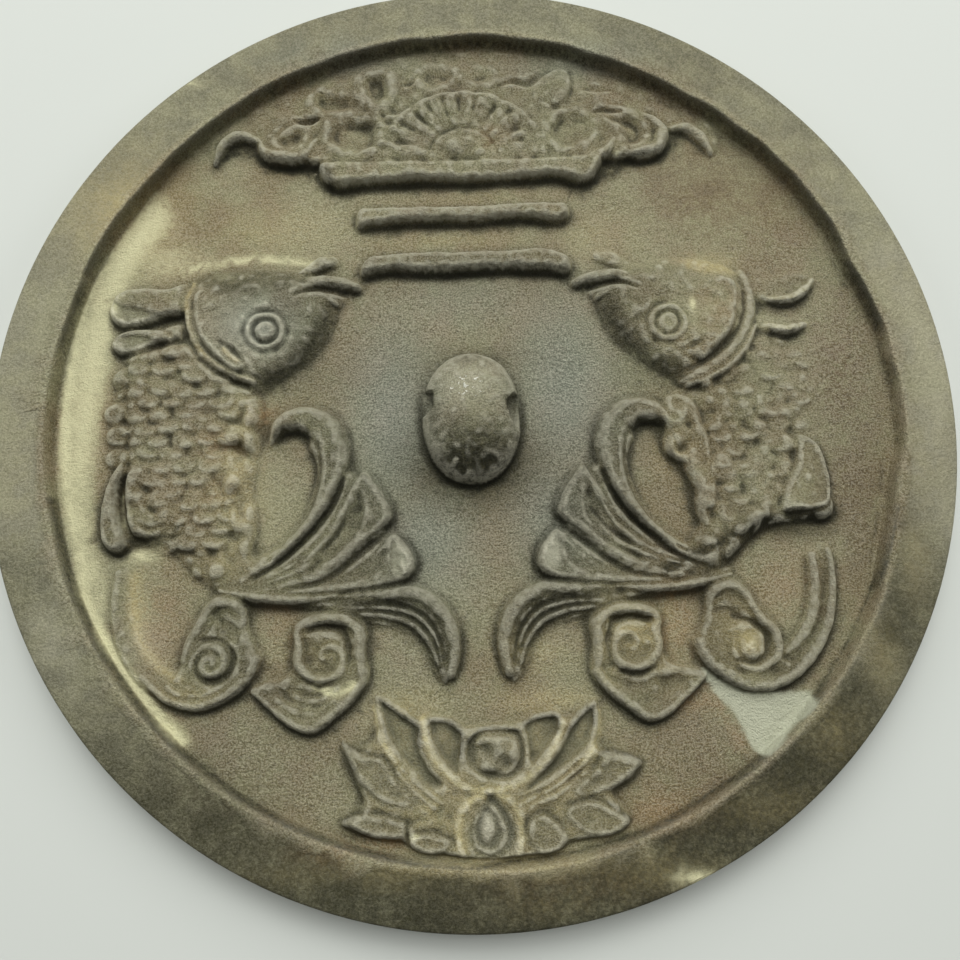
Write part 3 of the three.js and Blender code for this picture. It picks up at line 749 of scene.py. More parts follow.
    def draw_mouth(self, sheet: ReliefSheet) -> None:
        """Draws the open mouth and the barbel over it."""
        on = self.side.place
        lip = [(31, 25.9), (26, 26.1), (22.4, 25.7), (20.2, 24.9)]
        sheet.ridge(on(lip), [2, 2.8, 2.6, 1.8], 2.6)
        sheet.groove(on([(31.4, 23), (28.6, 24.3), (25.4, 24.3), (22.4, 23.9)]), [0.5, 1.3, 1.6, 1],
            1.7)
        sheet.ridge(on([(27.4, 22.6), (25.4, 22.5), (24, 21.9)]), [1.2, 1.8, 1.2], 2.2)
        barbel = [(31, 28), (28.4, 29.2), (26.4, 30.2), (24.7, 30.4)]
        sheet.ridge(on(barbel), [1.2, 2.2, 3.1, 2.2], 1.7 if self.side is Side.LEFT else 1)
        sheet.groove(on([(27.8, 27.7), (25.6, 28.5), (23.8, 28.6)]), [0.4, 1, 0.5], 1)

    def draw_eye(self, sheet: ReliefSheet) -> None:
        """Draws the ringed eye, the nostril and the folds of the cheek, a dark band on the left
        brow, and painted shade along the jaw.
        """
        on = self.side.place
        left = self.side is Side.LEFT
        eye_x, eye_y = AXIS_X + self.side.value * (36.5 if left else 36.2), 16.2 if left else 15.9
        deep = 1 if left else 0.75
        for radius, width, rise in ((4.2, 0.9, -0.3), (3.1, 1.1, 0.4), (2.2, 0.9, -0.85),
                (3.75, 0.8, -0.45)):
            turns = np.linspace(0, 5.9, 15)
            ring = [(eye_x + radius * math.cos(a), eye_y + radius * math.sin(a)) for a in turns]
            sheet.ridge(ring, width, rise * deep, lay=Lay.ON, closed=True)
        sheet.boss(eye_x, eye_y, 1.8, 1.8, 0.45, lay=Lay.ON)
        sheet.boss(eye_x, eye_y, 0.8, 0.8, -0.25)
        if left:
            sheet.groove(on([(44.8, 14.6), (42.8, 13.2), (40.2, 10.4)]), [0.6, 1.3, 0.6], 0.9)
            sheet.groove(on([(44.6, 13.8), (43.3, 11.4), (40.8, 9.9)]), [0.5, 1, 0.5], 0.6)
            sheet.tint_along(on([(43.8, 13), (42.6, 11.6), (41.4, 10.8)]), 0.5, tan=1)
            sheet.tint_plate(
                on([(50, 27.6), (40, 29.4), (32, 28.2), (27, 26), (34, 23.4), (44, 23)]), 1.6,
                dark=1)
            # Painted shade along the jaw.
            sheet.tint_plate(
                on([(24.8, 20), (29, 16), (31.4, 11), (38, 8), (37, 5.4), (30, 9.6), (25.6, 14.6)]),
                1.4, dark=1)
        else:
            sheet.groove(on([(37.8, 10.6), (40.2, 11.3), (42.6, 12.6)]), [0.5, 1.3, 0.6], 0.7)
            sheet.groove(on([(40, 8.9), (43.2, 10.2), (46, 12.6)]), [0.5, 1, 0.5], 0.5)
            sheet.tint_plate(on([(41, 29.4), (49, 28.4), (50, 26), (44, 25.6), (40.4, 27)]), 1,
                tan=0.8)
            # Painted shade along the jaw.
            sheet.tint_plate(
                on([(24.6, 20), (29, 16), (32, 11), (38, 8), (37, 5.4), (30, 9.6), (25.6, 14.6)]),
                1.8, dark=0.9)


@dataclass(frozen=True)
class StemCloud:
    """The cloud beside the rim: a button under a hook, on a stem that follows the rim."""

    side: Side
    plate_rise: float = 1.5
    button: Point = (45.0, -41.9)

    def draw(self, sheet: ReliefSheet) -> None:
        """Draws the cloud's plate, its hook and rolled button, and its stem."""
        on = self.side.place
        left = self.side is Side.LEFT
        stem = [
            (49, -44), (53, -42), (56.6, -37.6), (58.2, -32), (58.4, -26.6), (60.4, -24.6),
            (62.3, -26.6), (62.4, -33), (60.8, -39), (57.6, -44.4), (53.4, -48), (48, -49.4),
            (43, -48),
        ]
        sheet.plate(on(stem), 0.6 if left else 0.75, 1.4)
        base = [
            (49.2, -38.8), (47.6, -35.6), (46.8, -32.4), (44.4, -30.6), (41.4, -30.5),
            (39.3, -32.6), (38.9, -36.2), (37.6, -39.6), (37.2, -42.4), (39.4, -45.2), (43, -48.2),
            (47.4, -49.6), (51, -48.6), (53.4, -45.4), (51.4, -43.6),
        ]
        sheet.plate(on(base), self.plate_rise + 0.2, 1, rough=0.15)
        edge = [(37.9, -41.4), (38.9, -43.8), (42.6, -47), (47.4, -48.6), (52.4, -47.3),
            (56.8, -43.7), (60, -38.4), (61.5, -32), (61.5, -26.2)]
        inner = [(50.4, -44.4), (54, -42.2), (57, -38.2), (58.5, -33), (58.7, -27)]
        if left:
            sheet.ridge(on(edge[:6]), [2.2, 2.6, 2.4, 2, 1.2], 2.3)
            sheet.ridge(on(edge[4:]), [1.8, 2.8, 3, 2.6, 1.8], 1)
            sheet.ridge(on([(43, -45.6), (46.4, -47), (50.4, -46.6), (54, -44.2)]),
                [0.5, 1, 1, 0.5], 0.4, lay=Lay.ON)
            sheet.tint_along(on(inner), 1.6, tan=0.8)
        else:
            sheet.ridge(on(edge), [2.6, 2.9, 2.8, 2.6, 2.3, 1.9, 1.3], 2.4)
            sheet.ridge(on(inner), [1.2, 2.1, 2.2, 1.6], 1.6)
        hook = [(39.8, -34.8), (40.8, -32.6), (43.4, -31.7), (45.8, -33), (47.2, -35.8)]
        sheet.ridge(on(hook), [1.3, 2.6, 2.7, 2.2, 1.8], 2.7)
        x, y = AXIS_X + self.side.value * self.button[0], self.button[1]
        turns = [(48.8, -38.6), (49.7, -41.2)] if left else coil((46.6, -42), 4.5, 3.4, 62, -265)
        sheet.ridge(on(hook[3:] + turns), [2, 2.3, 2.2, 1.6], 2.5)
        if left:
            sheet.boss(x + 0.1, y + 0.1, 4.3, 4.2, 2.9, full=2.8)
            sheet.groove(coil((x, y), 4.1, 0.9, 110, -560), [0.9, 1.6, 1.5, 1.3, 0.8], 1.2)
            sheet.plate(on([(43.6, -34.2), (44.6, -37), (42.4, -38.6), (40.4, -38.8), (40.6, -36)]),
                -0.6, 0.8)
        else:
            sheet.boss(x + 0.9, y - 0.2, 2.8, 2.9, 2.7, full=2.6)
            sheet.tint(smooth=[(x + 0.9, y - 0.2, 2.2, 2.2, 1)])
            sheet.ridge(on([(43.6, -37), (46.8, -38.2), (49, -40.6), (48.6, -43.6), (46.2, -45.2),
                (43.6, -44.4)]), [0.6, 1.2, 1.2, 1.1, 0.7], -0.9)
            sheet.plate(
                on([(39.6, -36), (43.6, -35.4), (45.8, -37.4), (42.6, -39.4), (39.8, -39.2)]), -0.6,
                0.8)


@dataclass(frozen=True)
class LobeCloud:
    """The cloud under a fish's tail: a square-shouldered coil over a broad lobe."""

    side: Side
    plate_rise: float = 1.6

    def draw(self, sheet: ReliefSheet) -> None:
        """Draws the cloud's plate, its lip and its two-turn coil."""
        on = self.side.place
        left = self.side is Side.LEFT
        base = [
            (31, -35.8), (27.6, -34.2), (23, -33.9), (19.8, -34.8), (18.6, -37.8), (19, -41),
            (18.4, -44.2), (19.2, -47), (22.2, -49.7), (25.6, -52.9), (28.2, -54.2), (31.4, -53),
            (35, -49.9), (38.6, -46.3), (36.4, -45.2), (32.4, -44), (31.4, -40),
        ]
        sheet.plate(on(base), self.plate_rise, 1, rough=0.15)
        hollow = [(21, -45.8), (25, -46.6), (30, -46.2), (34.4, -46), (35.6, -47), (32, -50.2),
            (28.4, -51.8), (24.6, -49.4)]
        sheet.plate(on(hollow), -0.7, 1.3)
        lip = [(38, -46.7), (34.2, -49.9), (30.8, -52.3), (28.2, -53), (25.2, -51), (21.8, -48.2),
            (19.8, -45.4)]
        sheet.ridge(on(lip), [1.2, 2, 2.2, 2.3, 2], 2.4)
        if left:
            sheet.ridge(on([(35, -47.2), (31.4, -49.8), (28, -50.6), (24.4, -48.4)]),
                [0.6, 1.3, 1.3, 0.6], 0.6, lay=Lay.ON)
            sheet.ridge(on([(33.4, -45.8), (31, -47.8), (27.4, -48.6), (23.4, -46.8)]),
                [0.6, 1.1, 1.1, 0.6], 0.5, lay=Lay.ON)
        centre = (25.7, -41.6) if left else (25.6, -41.2)
        outer = [(30.6, -38.8), (30.2, -36.4), (26.6, -35.2), (22.6, -35.4), (20.4, -37.4),
            (20.3, -40.6), (20, -44.4)]
        sheet.ridge(on(outer), [1.6, 2.3, 2.5, 2.5, 2.4, 1.8], 2.7)
        turns = coil(centre, 5, 0.6, 24, -400) if left else coil(centre, 4.9, 0.7, 30, -440)
        sheet.ridge(on([(30.6, -37.6)] + turns), [1.9, 2.5, 2.5, 2.3, 2, 1.6], 2.75)
        sheet.ridge(on([(29, -37.2), (26.4, -36.6), (23.4, -37.2), (22.2, -39.6), (22.2, -43)]),
            [0.7, 1.4, 1.5, 1.2, 0.6], -1.3)
        sheet.groove(on([(29.6, -45), (27, -46.1), (24, -45.4)]), [0.6, 1.5, 0.7], 0.9)


@dataclass(frozen=True)
class Bars:
    """The three bars that stand for the neck and foot of a vase."""

    rise: float = 2.9

    def draw(self, sheet: ReliefSheet) -> None:
        """Draws the flared top bar, the neck and the foot with its chamfered shoulders."""
        top = [
            (-28.6, 48.6), (-27.6, 46.4), (-24.6, 44.9), (-20, 45.3), (-10, 45.7), (0, 45.4),
            (10, 45.8), (17, 46), (20.6, 44.9), (23.6, 45.6), (25.2, 48), (26.2, 50), (28.2, 51.8),
            (28.9, 54), (27.8, 54.8), (26.4, 53.2), (23.4, 51.2), (16, 50.6), (0, 50.3),
            (-14, 50.4), (-25, 50.6), (-28.2, 50.2),
        ]
        neck = [
            (-21.6, 38.6), (-21.2, 36.7), (-18.6, 36.9), (-10, 37.4), (0, 37.2), (10, 37.7),
            (17.4, 37), (18.9, 38.6), (18.5, 40.8), (16, 41.3), (0, 40.9), (-16, 41.1),
            (-20.8, 40.9),
        ]
        foot = [(-20.8, 29), (-20.4, 26.9), (-16, 27.4), (-6, 27.1), (4, 27.4), (14, 26.9),
            (18, 26.6), (18.9, 28.4), (18, 30.4), (14, 31.9), (4, 31.8), (-6, 31.9), (-15, 31.7),
            (-18.8, 31.2)]
        sheet.plate(top, self.rise, 1.3, ease=1.9, rough=0.12)
        sheet.plate(neck, self.rise - 0.2, 1.3, ease=1.9, rough=0.12)
        sheet.plate(foot, self.rise + 0.1, 1.5, ease=1.8, rough=0.14)


@dataclass(frozen=True)
class Flower:
    """Half a flower above the top bar, between two sprays of dished leaves."""

    x: float = -1.0
    y: float = 50.4
    seed_half: float = 5.9
    petals: int = 12

    def draw(self, sheet: ReliefSheet) -> None:
        """Draws the spray's ground, the leaves and the flower."""
        self.draw_ground(sheet)
        self.draw_leaves(sheet)
        self.draw_petals(sheet)

    def draw_ground(self, sheet: ReliefSheet) -> None:
        """Draws the raised ground of the spray, which is high below and dies out at the rim."""
        ground = [
            (-48.6, 50.6), (-46.6, 54.2), (-44, 55.3), (-41.2, 55), (-39.9, 52.4), (-38.2, 50.6),
            (-33, 50.4), (-28, 49.6), (-10, 49), (8, 49), (24, 49.4), (29.6, 49.8), (35.6, 50.4),
            (38.2, 52.6), (39.2, 55.4), (42.4, 55.2), (45, 52.4), (46.8, 50.6), (48.6, 53),
            (47, 58.6), (41, 64.4), (34, 68.6), (25, 72.2), (12, 75), (0, 76), (-12, 75), (-25, 72),
            (-35, 67.8), (-43, 62), (-49, 56.6),
        ]
        curve = smooth_curve(ground, True)
        part = sheet.window(curve, 0.5)
        gap, _, inside = sheet.nearest(curve, part)
        fall = np.clip((72.5 - np.hypot(sheet.x[part], sheet.y[part])) / 17, 0, 1) ** 0.8
        side = 1 - (1 - np.clip(gap / 1.1, 0, 1)) ** 1.8
        form = np.where(inside, side * (0.35 + 1.9 * fall + 0.16 * sheet.lumps[part]), 0)
        sheet.settle(part, form, Lay.OVER)

    def draw_leaves(self, sheet: ReliefSheet) -> None:
        """Draws the dished leaves, which differ from side to side, and the hooks at the ends."""
        sheet.dish([(-20.2, 66.4), (-19, 69), (-15.6, 69.2), (-14.4, 66.6), (-15.2, 63.4),
            (-16.6, 61.6), (-18.8, 63)], 1.5, 0.85, 3.6)
        sheet.dish([(-29.8, 63.2), (-28.4, 65.9), (-25.6, 65.2), (-22.8, 64.8), (-20.6, 61.8),
            (-23.4, 60.8), (-27.4, 61)], 1.2, 0.45)
        sheet.dish([(-26.6, 56.4), (-24.6, 59), (-21, 59.5), (-17.4, 59), (-16.6, 56),
            (-17.4, 52.8), (-20.4, 51.6), (-24, 51.8), (-26.4, 53.8)], 1.5, 0.5)
        sheet.dish(
            [(-36.8, 55.6), (-34, 57.5), (-31.2, 57.6), (-30.6, 55), (-32, 52.8), (-35, 52.4)], 0.9,
            0.55, 3)
        sheet.dish([(-9.6, 68), (-8, 70.7), (-5.4, 70.5), (-1.8, 69), (-3.2, 66.6), (-6.6, 65.6)],
            1.15, 0.5)
        sheet.dish([(0.2, 67.4), (1.8, 69.9), (4.8, 69.7), (5.2, 67.4), (2.6, 66.2)], 0.9, 0.4)
        sheet.dish([(15.8, 57.6), (18, 59.8), (22, 59.8), (24.6, 57.4), (23.6, 53.8), (20.4, 51.8),
            (17, 52.2), (15.2, 54.8)], 1.1, 0.4)
        sheet.dish([(25.6, 60), (30, 60), (33.8, 57.9), (34.6, 54.8), (33, 52.6), (30.2, 52.4),
            (29.4, 55.6)], 1.5, 0.45)
        sheet.plate([(12.6, 62.6), (13, 66.2), (16.6, 69.6), (20, 69.8), (20.8, 66.4), (19.4, 63),
            (16.4, 60.6)], 0.6, 1, lay=Lay.ON)
        sheet.groove([(6.2, 66.1), (9.4, 67.3), (12.2, 66.8), (14.6, 68.8), (17.4, 70)],
            [0.5, 1.6, 1.8, 1.5, 0.4], 1.1)
        sheet.groove([(15, 62.2), (17.4, 60.9), (19.6, 60.6)], [0.4, 1.1, 0.4], 0.6)
        sheet.groove([(20.4, 69.6), (21, 66.4), (19.8, 63)], [0.4, 0.9, 0.4], 0.5)
        sheet.groove([(22, 65.3), (25, 65.7), (28.4, 65.3)], [0.4, 1.8, 0.5], 0.9)
        sheet.groove([(24.6, 60), (27, 60.7), (30, 60.1)], [0.6, 1.8, 0.7], 1.5)
        sheet.groove([(-33.2, 59.6), (-30.6, 59.2), (-28.2, 59.8)], [0.5, 2, 0.7], 1.6)
        sheet.groove([(-36.4, 55.8), (-34.4, 58.4), (-31.8, 58.8)], [0.4, 1.2, 0.4], 0.7)
        sheet.groove([(-12.6, 66.8), (-10.6, 67.4), (-9, 69.2)], [0.4, 1.2, 0.5], 0.7)
        sheet.ridge([(29.4, 51.4), (33, 51), (36.2, 52.2), (37.4, 55), (36, 57.6), (33.8, 59.6)],
            [1.4, 2.6, 3, 3.2, 2.6, 1], 2.9)
        sheet.ridge([(-39.4, 54.8), (-38.2, 52.4), (-35, 51.5), (-31, 51.8), (-28.6, 55)],
            [1.4, 2.8, 3, 2.8, 1.6], 2.9)
        sheet.ridge([(-48, 51), (-46.2, 55), (-43, 56.4), (-40, 55.4)], [0.8, 2.2, 2.4, 1.8], 2.2)
        sheet.ridge([(38.4, 56.2), (42, 56.6), (45, 54.4), (46.8, 51.2)], [0.9, 2.2, 2.4, 1.2], 1.8)
        sheet.ridge([(23.6, 50.2), (26.6, 51.4), (28.1, 54)], [2.4, 2.6, 1.6], 3.1)
        for line in ([(-17, 57.6), (-14.4, 56.6), (-12, 55.2)],
                [(-17, 53.4), (-15, 53.2), (-12.8, 52)],
                [(-15.4, 59.4), (-13, 58.6), (-10.8, 57.2)]):
            sheet.ridge(line, [0.8, 1.7, 0.8], 0.85, lay=Lay.ON)

    def draw_petals(self, sheet: ReliefSheet) -> None:
        """Draws the ring of narrow petals, its scalloped outer edge and the half seed head."""
        rng = np.random.default_rng(31)
        turns = np.linspace(0, math.pi, 15)
        disc = [(self.x + 17 * math.cos(a), self.y - 0.4 + 15.4 * math.sin(a)) for a in turns]
        sheet.plate(disc + [(-12, 49.2), (10, 49.2)], 2.5, 1.6, ease=1.6, rough=0.15)
        for i in range(self.petals):
            wander = rng.uniform(-0.045, 0.045)
            angle = math.pi * (i + 0.5) / self.petals + wander
            reach = rng.uniform(10.8, 12.4)
            spine = self.spoke(angle, (7.2, 9.2, reach))
            sheet.ridge(spine, [1.2, 2.2, 2.7], rng.uniform(0.25, 0.45), lay=Lay.ON)
            if i < self.petals - 1:
                gap = math.pi * (i + 1) / self.petals + wander
                cut = self.spoke(gap, (rng.uniform(8.4, 10), 11, reach + 0.9))
                sheet.groove(cut, [0.4, 0.9, 1.4], rng.uniform(0.35, 0.8))
        sheet.plate(self.arc(self.seed_half, 0, math.pi, 11) + [(-4.6, 49.2), (2.6, 49.2)], 2.9, 2,
            rough=0.3)
        sheet.groove(self.arc(self.seed_half + 0.8, 0.1, math.pi - 0.1, 11), [0.5, 0.9, 0.9, 0.5],
            0.45)
        for start, end, reach in ((0.05, 0.5, 15.6), (0.5, 0.95, 15), (0.95, 1.35, 14.2),
                (1.35, 1.85, 13.8), (1.85, 2.3, 14), (2.3, 2.75, 14.8)):
            sheet.ridge(self.arc(reach, start, end, 5), [0.7, 2.4, 0.7], 0.4, lay=Lay.ON)

    def spoke(self, angle: float, reaches: Sequence[float]) -> list[Point]:
        """Gives places along a line out from the flower's middle."""
        return [(self.x + r * math.cos(angle), self.y + r * math.sin(angle)) for r in reaches]

    def arc(self, reach: float, start: float, end: float, count: int) -> list[Point]:
        """Gives places round the flower's middle, its angles in radians."""
        turns = np.linspace(start, end, count)
        return [(self.x + reach * math.cos(a), self.y - 0.5 + reach * math.sin(a)) for a in turns]


@dataclass(frozen=True)
class Lotus:
    """An open lotus below the knob: a seed pod, dished petals either side and a drop."""

    rise: float = 1.7
    sink: float = 1.4

    def draw(self, sheet: ReliefSheet) -> None:
        """Draws the lotus from its ground up to the pod and the drop."""
        ground = [
            (-24.5, -55.2), (-20.5, -56.2), (-18.6, -54), (-18.8, -48), (-16.6, -48.2),
            (-13.5, -50.2), (-11.2, -51.8), (-9.5, -51.5), (-6, -52), (-3.8, -53.2), (1, -53.2),
            (5.4, -52.8), (8.4, -51.6), (12, -51.5), (13.4, -52.8), (16, -50.6), (18.4, -50),
            (18.7, -54), (18.2, -57.4), (22, -57.9), (25.7, -60.2), (23.6, -63.2), (20.4, -65),
            (23.2, -69.4), (20.6, -71.9), (16.4, -72.3), (13, -72.6), (10.6, -74.5), (6.6, -74.6),
            (4, -74.9), (-3.6, -74.9), (-6.6, -74.1), (-11.6, -73.6), (-14.5, -71.5),
            (-18.8, -70.9), (-24.9, -68), (-21, -65.6), (-22.8, -60.4),
        ]
        sheet.plate(ground, self.rise, 1.2, rough=0.12)
        sheet.tint_plate(ground, 1.8, tan=0.5)
        self.draw_hollows(sheet)
        self.draw_outer(sheet)
        self.draw_middle(sheet)

    def draw_hollows(self, sheet: ReliefSheet) -> None:
        """Cuts the petals that stand up, leaving pale ribs between them."""
        hollows = (
            [(-9.7, -52.5), (-6, -53), (-4.4, -54.8), (-4.6, -58.4), (-5.4, -61.2), (-7.8, -58.8),
            (-9.4, -55.6)],
            [(-18, -48.9), (-14.6, -51.2), (-11.7, -53.2), (-11.5, -56.4), (-9.8, -60),
            (-7.6, -62.8), (-9.6, -63.4), (-12.6, -60.6), (-15.6, -56.6), (-17.4, -52.6)],
            [(6.1, -53.6), (8.8, -52.4), (11.7, -52.6), (11.6, -55), (9.4, -58), (6.9, -60.2),
            (6.2, -56.4)],
            [(13.4, -55), (15.6, -52.4), (17.7, -51.1), (17.9, -54), (16.4, -57.4), (13, -60.4),
            (9, -62.8), (5.2, -64.4), (8.4, -61.6), (11.6, -58)],
        )
        for points in hollows:
            sheet.plate(points, -self.sink, 0.7, ease=1.4)
            sheet.tint_plate(points, 0.5, smooth=0.4)
            sheet.tint_plate(points, 0.6, slate=0.5)
            # Painted shade inside each hollow, deepest along its upper edge.
            sheet.tint_plate(points, 0.5, dark=0.75)
            sheet.tint_along(points[:4], 0.8, soot=0.95)
        ribs = (
            [(-16.6, -56.6), (-13.6, -60.4), (-10.4, -63.6), (-7.6, -65.6)],
            [(16.8, -58.6), (13, -62), (8.6, -64.8), (4.8, -66)],
            [(-14.8, -60.2), (-11.6, -63.8), (-8.8, -66.4)],
            [(15.4, -61.6), (11, -64.6), (6.4, -66.6)],
        )
        for rib in ribs:
            sheet.ridge(rib, [0.6, 1.1, 1.1, 0.6], 0.45, lay=Lay.ON)
            sheet.groove([(x * 1.04, y + 0.9) for x, y in rib], [0.4, 0.8, 0.8, 0.4], 0.7)
        for rib in ([(-10.8, -52), (-10, -56.4), (-7.4, -60.4), (-4.2, -63), (0, -63.9)],
                [(12.4, -53.6), (10.6, -57.8), (7.6, -61), (4, -63), (0, -63.9)],
                [(0, -63.6), (-4.6, -66.4), (-5.4, -70), (-4.6, -74)],
                [(0, -63.6), (4.2, -66.4), (5, -70), (4.2, -74)],
                [(-18.8, -50), (-17.9, -54.4), (-15.4, -58.6)],
                [(18.6, -52), (18, -56.4), (15.4, -60)]):
            sheet.ridge(rib, [1.3, 1.8, 1.7, 1.2], 0.4, lay=Lay.ON)
            sheet.tint_along(rib, 1.5, tan=1)
            sheet.tint_along(rib, 0.9, pale=0.55)

    def draw_outer(self, sheet: ReliefSheet) -> None:
        """Draws the petals that lie down either side, each higher at its outer edge."""
        petals = (
            ([(-24.2, -55.6), (-20.4, -57), (-17.2, -57.8), (-15.2, -60.8), (-11.6, -65.4),
            (-14.4, -66.3), (-18.4, -65), (-21.6, -62), (-23.4, -58.4)], (-0.05, 0)),
            ([(-24.6, -67.8), (-21, -66.3), (-16.8, -66.6), (-12.8, -68.2), (-12.4, -70.2),
            (-16, -71), (-20, -70.4), (-22.6, -69.2)], (-0.02, -0.08)),
            ([(-14.1, -71.2), (-12, -69.5), (-8.6, -69.7), (-6, -71.1), (-7, -73.1), (-10, -73.7),
            (-12.8, -72.8)], (0, -0.06)),
            ([(25.5, -60.2), (22, -58.6), (19.2, -58.2), (16.8, -60.8), (13.2, -64), (14.8, -65.9),
            (19.2, -65), (23.2, -62.9)], (0.05, 0.02)),
            ([(22.9, -69.4), (20, -66.8), (16.6, -65.4), (12.4, -66.2), (11.6, -68), (14, -70.8),
            (17, -72), (20.6, -71.5)], (0.03, -0.05)),
            ([(5.3, -70.6), (6, -68), (8.6, -67.2), (11.4, -69), (12.9, -71.4), (10.8, -74),
            (7.4, -74.2)], (0, -0.04)),
        )
        for points, tilt in petals:
            sheet.plate(points, self.rise + 0.55, 1, tilt=tilt, sink=0.35, wall=1.2, rough=0.1)
            sheet.tint_plate(points, 0.7, slate=0.5)
            # Painted shade over each petal, deepest along its upper edge.
            sheet.tint_plate(points, 0.6, dark=0.7)
            sheet.tint_along(points[:4], 0.7, soot=0.8)
        sheet.groove([(-13.6, -68.2), (-13.7, -70), (-13.3, -71.8)], [0.4, 0.9, 0.5], 1.3)

    def draw_middle(self, sheet: ReliefSheet) -> None:
        """Draws the rough pod and the drop with its boss, which carries a painted highlight."""
        pod = [(-3.6, -56.2), (-1.6, -54.4), (2, -54.1), (5.2, -54.6), (6.2, -57), (5.8, -60.4),
            (3.6, -62.3), (0.2, -62.2), (-3, -60.6), (-4, -58.4)]
        sheet.plate(pod, -1.3, 0.6)
        inner = [(1.2 + (x - 1.2) * 0.84, -58.3 + (y + 58.3) * 0.82) for x, y in pod]
        sheet.plate(inner, 1.05, 1.1, rough=0.45, lay=Lay.ON)
        # Painted shade along the pod's upper edge.
        sheet.tint_along(pod[:4], 0.5, soot=0.9)
        sheet.tint(slate=[(1.2, -58.3, 5, 4.4, 0.7)])
        drop = [(0.1, -64.8), (2.6, -67), (4.1, -70.2), (3.4, -73), (0.4, -74.6), (-2.8, -73.2),
            (-3.9, -70.2), (-2.4, -67)]
        sheet.plate(drop, -0.9, 0.8)
        sheet.tint_plate(drop, 0.6, slate=0.8)
        ring = [(-0.4, -66), (1.5, -68.6), (2.2, -71.2), (0.3, -73.3), (-2.1, -72.6), (-3, -70.2),
            (-2, -67.6)]
        sheet.ridge(ring, 1, 0.7, lay=Lay.ON, closed=True)
        sheet.boss(-0.5, -69.9, 1.4, 2.7, 2, turn=-4)
        sheet.tint(tan=[(-0.5, -69.9, 1.3, 2.4, 1)])
        # A painted highlight on the boss.
        sheet.tint(bright=[(-0.8, -69.2, 0.9, 1.8, 0.7)])


# ---- the bare disc


@dataclass(frozen=True)
class Disc:
    """The disc's own profile: a flat rim round a sunken field, and the oval knob in its middle."""

    radius: float
    rim_top: float
    knob_top: float
    rim_width: float = 9.5
    field_top: float = 3.4
    edge: float = 0.6
    rim_foot: float = 0.45
    lip_width: float = 0.6
    lip_depth: float = 0.2
    knob_x: float = -1.0
    knob_y: float = -0.5
    knob_half: Point = (8.9, 12.2)
    knob_square: float = 2.15
    knob_full: float = 2.3

    def field_and_rim(self, sheet: ReliefSheet) -> np.ndarray:
        """Works out the height of the bare disc over the whole sheet, with a cast unevenness."""
        out = np.hypot(sheet.x, sheet.y)
        wander = 0.22 * sheet.grain(5, 2.2) + 0.2 * sheet.grain(6, 6.0)
        rough_side = ramp(sheet.x * 0.5 - sheet.y * 0.2, -10, 60)
        inner = self.radius - self.rim_width
        inner = inner + np.clip(wander, -0.8, 0.45) * (0.6 + 0.8 * rough_side)
        up = np.clip((out - inner + self.rim_foot) / self.rim_foot, 0, 1)
        top = self.field_top + (self.rim_top - self.field_top) * up**0.8
        lip = np.clip(1 - (out - inner) / self.lip_width, 0, 1) ** 2 * (up >= 1)
        return top - self.lip_depth * lip

    def knob(self, sheet: ReliefSheet) -> np.ndarray:
        """Works out the knob's height, a full dome with a squarish oval outline."""
        across = np.abs((sheet.x - self.knob_x) / self.knob_half[0]) ** self.knob_square
        across = across + np.abs((sheet.y - self.knob_y) / self.knob_half[1]) ** self.knob_square
        dome = np.clip(1 - (across ** (1 / self.knob_square)) ** self.knob_full, 0, 1) ** 0.5
        return self.field_top + (self.knob_top - self.field_top - 0.12) * dome


@dataclass(frozen=True)
class CordHole:
    """The hole through the knob, lower at its left mouth and flared at its right."""

    floor: float
    arch_steps: int = 14
    # Each station: its x, the middle's y, half the width, the arch's height, the sill's height.
    stations: tuple[tuple[float, float, float, float, float], ...] = (
        (-14.0, 2.0, 2.4, 4.2, 0.7), (-7.0, 2.0, 2.4, 4.4, 0.6), (4.0, 0.6, 2.7, 4.9, 0.3),
        (5.6, 0.3, 3.0, 5.1, 0.35), (7.4, 0.1, 3.5, 5.4, 0.5), (14.0, 0.1, 3.7, 5.6, 0.7),
    )

    def section(self, station: Sequence[float]) -> list[tuple[float, float, float]]:
        """Gives the arched outline of the hole at a station, in metres."""
        x, y, half, high, sill = station
        arch = [(y + half, sill)]
        for i in range(self.arch_steps + 1):
            a = math.pi * i / self.arch_steps
            arch.append((y + half * math.cos(a), high * 0.55 + high * 0.45 * math.sin(a)))
        arch.append((y - half, sill))
        return [(x * MM, ay * MM, (self.floor + az) * MM) for ay, az in arch]

    def cutter(self) -> bpy.types.Object:
        """Builds the closed shape that the hole is cut with."""
        rows = [self.section(station) for station in self.stations]
        size, total = len(rows[0]), len(rows[0]) * len(rows)
        faces = [tuple(range(size))[::-1], tuple(range(total - size, total))]
        for start in range(0, total - size, size):
            for i in range(size):
                j = (i + 1) % size
                faces.append((start + i, start + j, start + size + j, start + size + i))
        mesh = bpy.data.meshes.new("cord_hole")
        mesh.from_pydata([point for row in rows for point in row], [], faces)
        shell = bmesh.new()
        shell.from_mesh(mesh)
        bmesh.ops.triangulate(shell, faces=shell.faces)
        bmesh.ops.recalc_face_normals(shell, faces=shell.faces)
        shell.to_mesh(mesh)
        shell.free()
        return link_object("cord_hole", mesh)


# ---- nodes


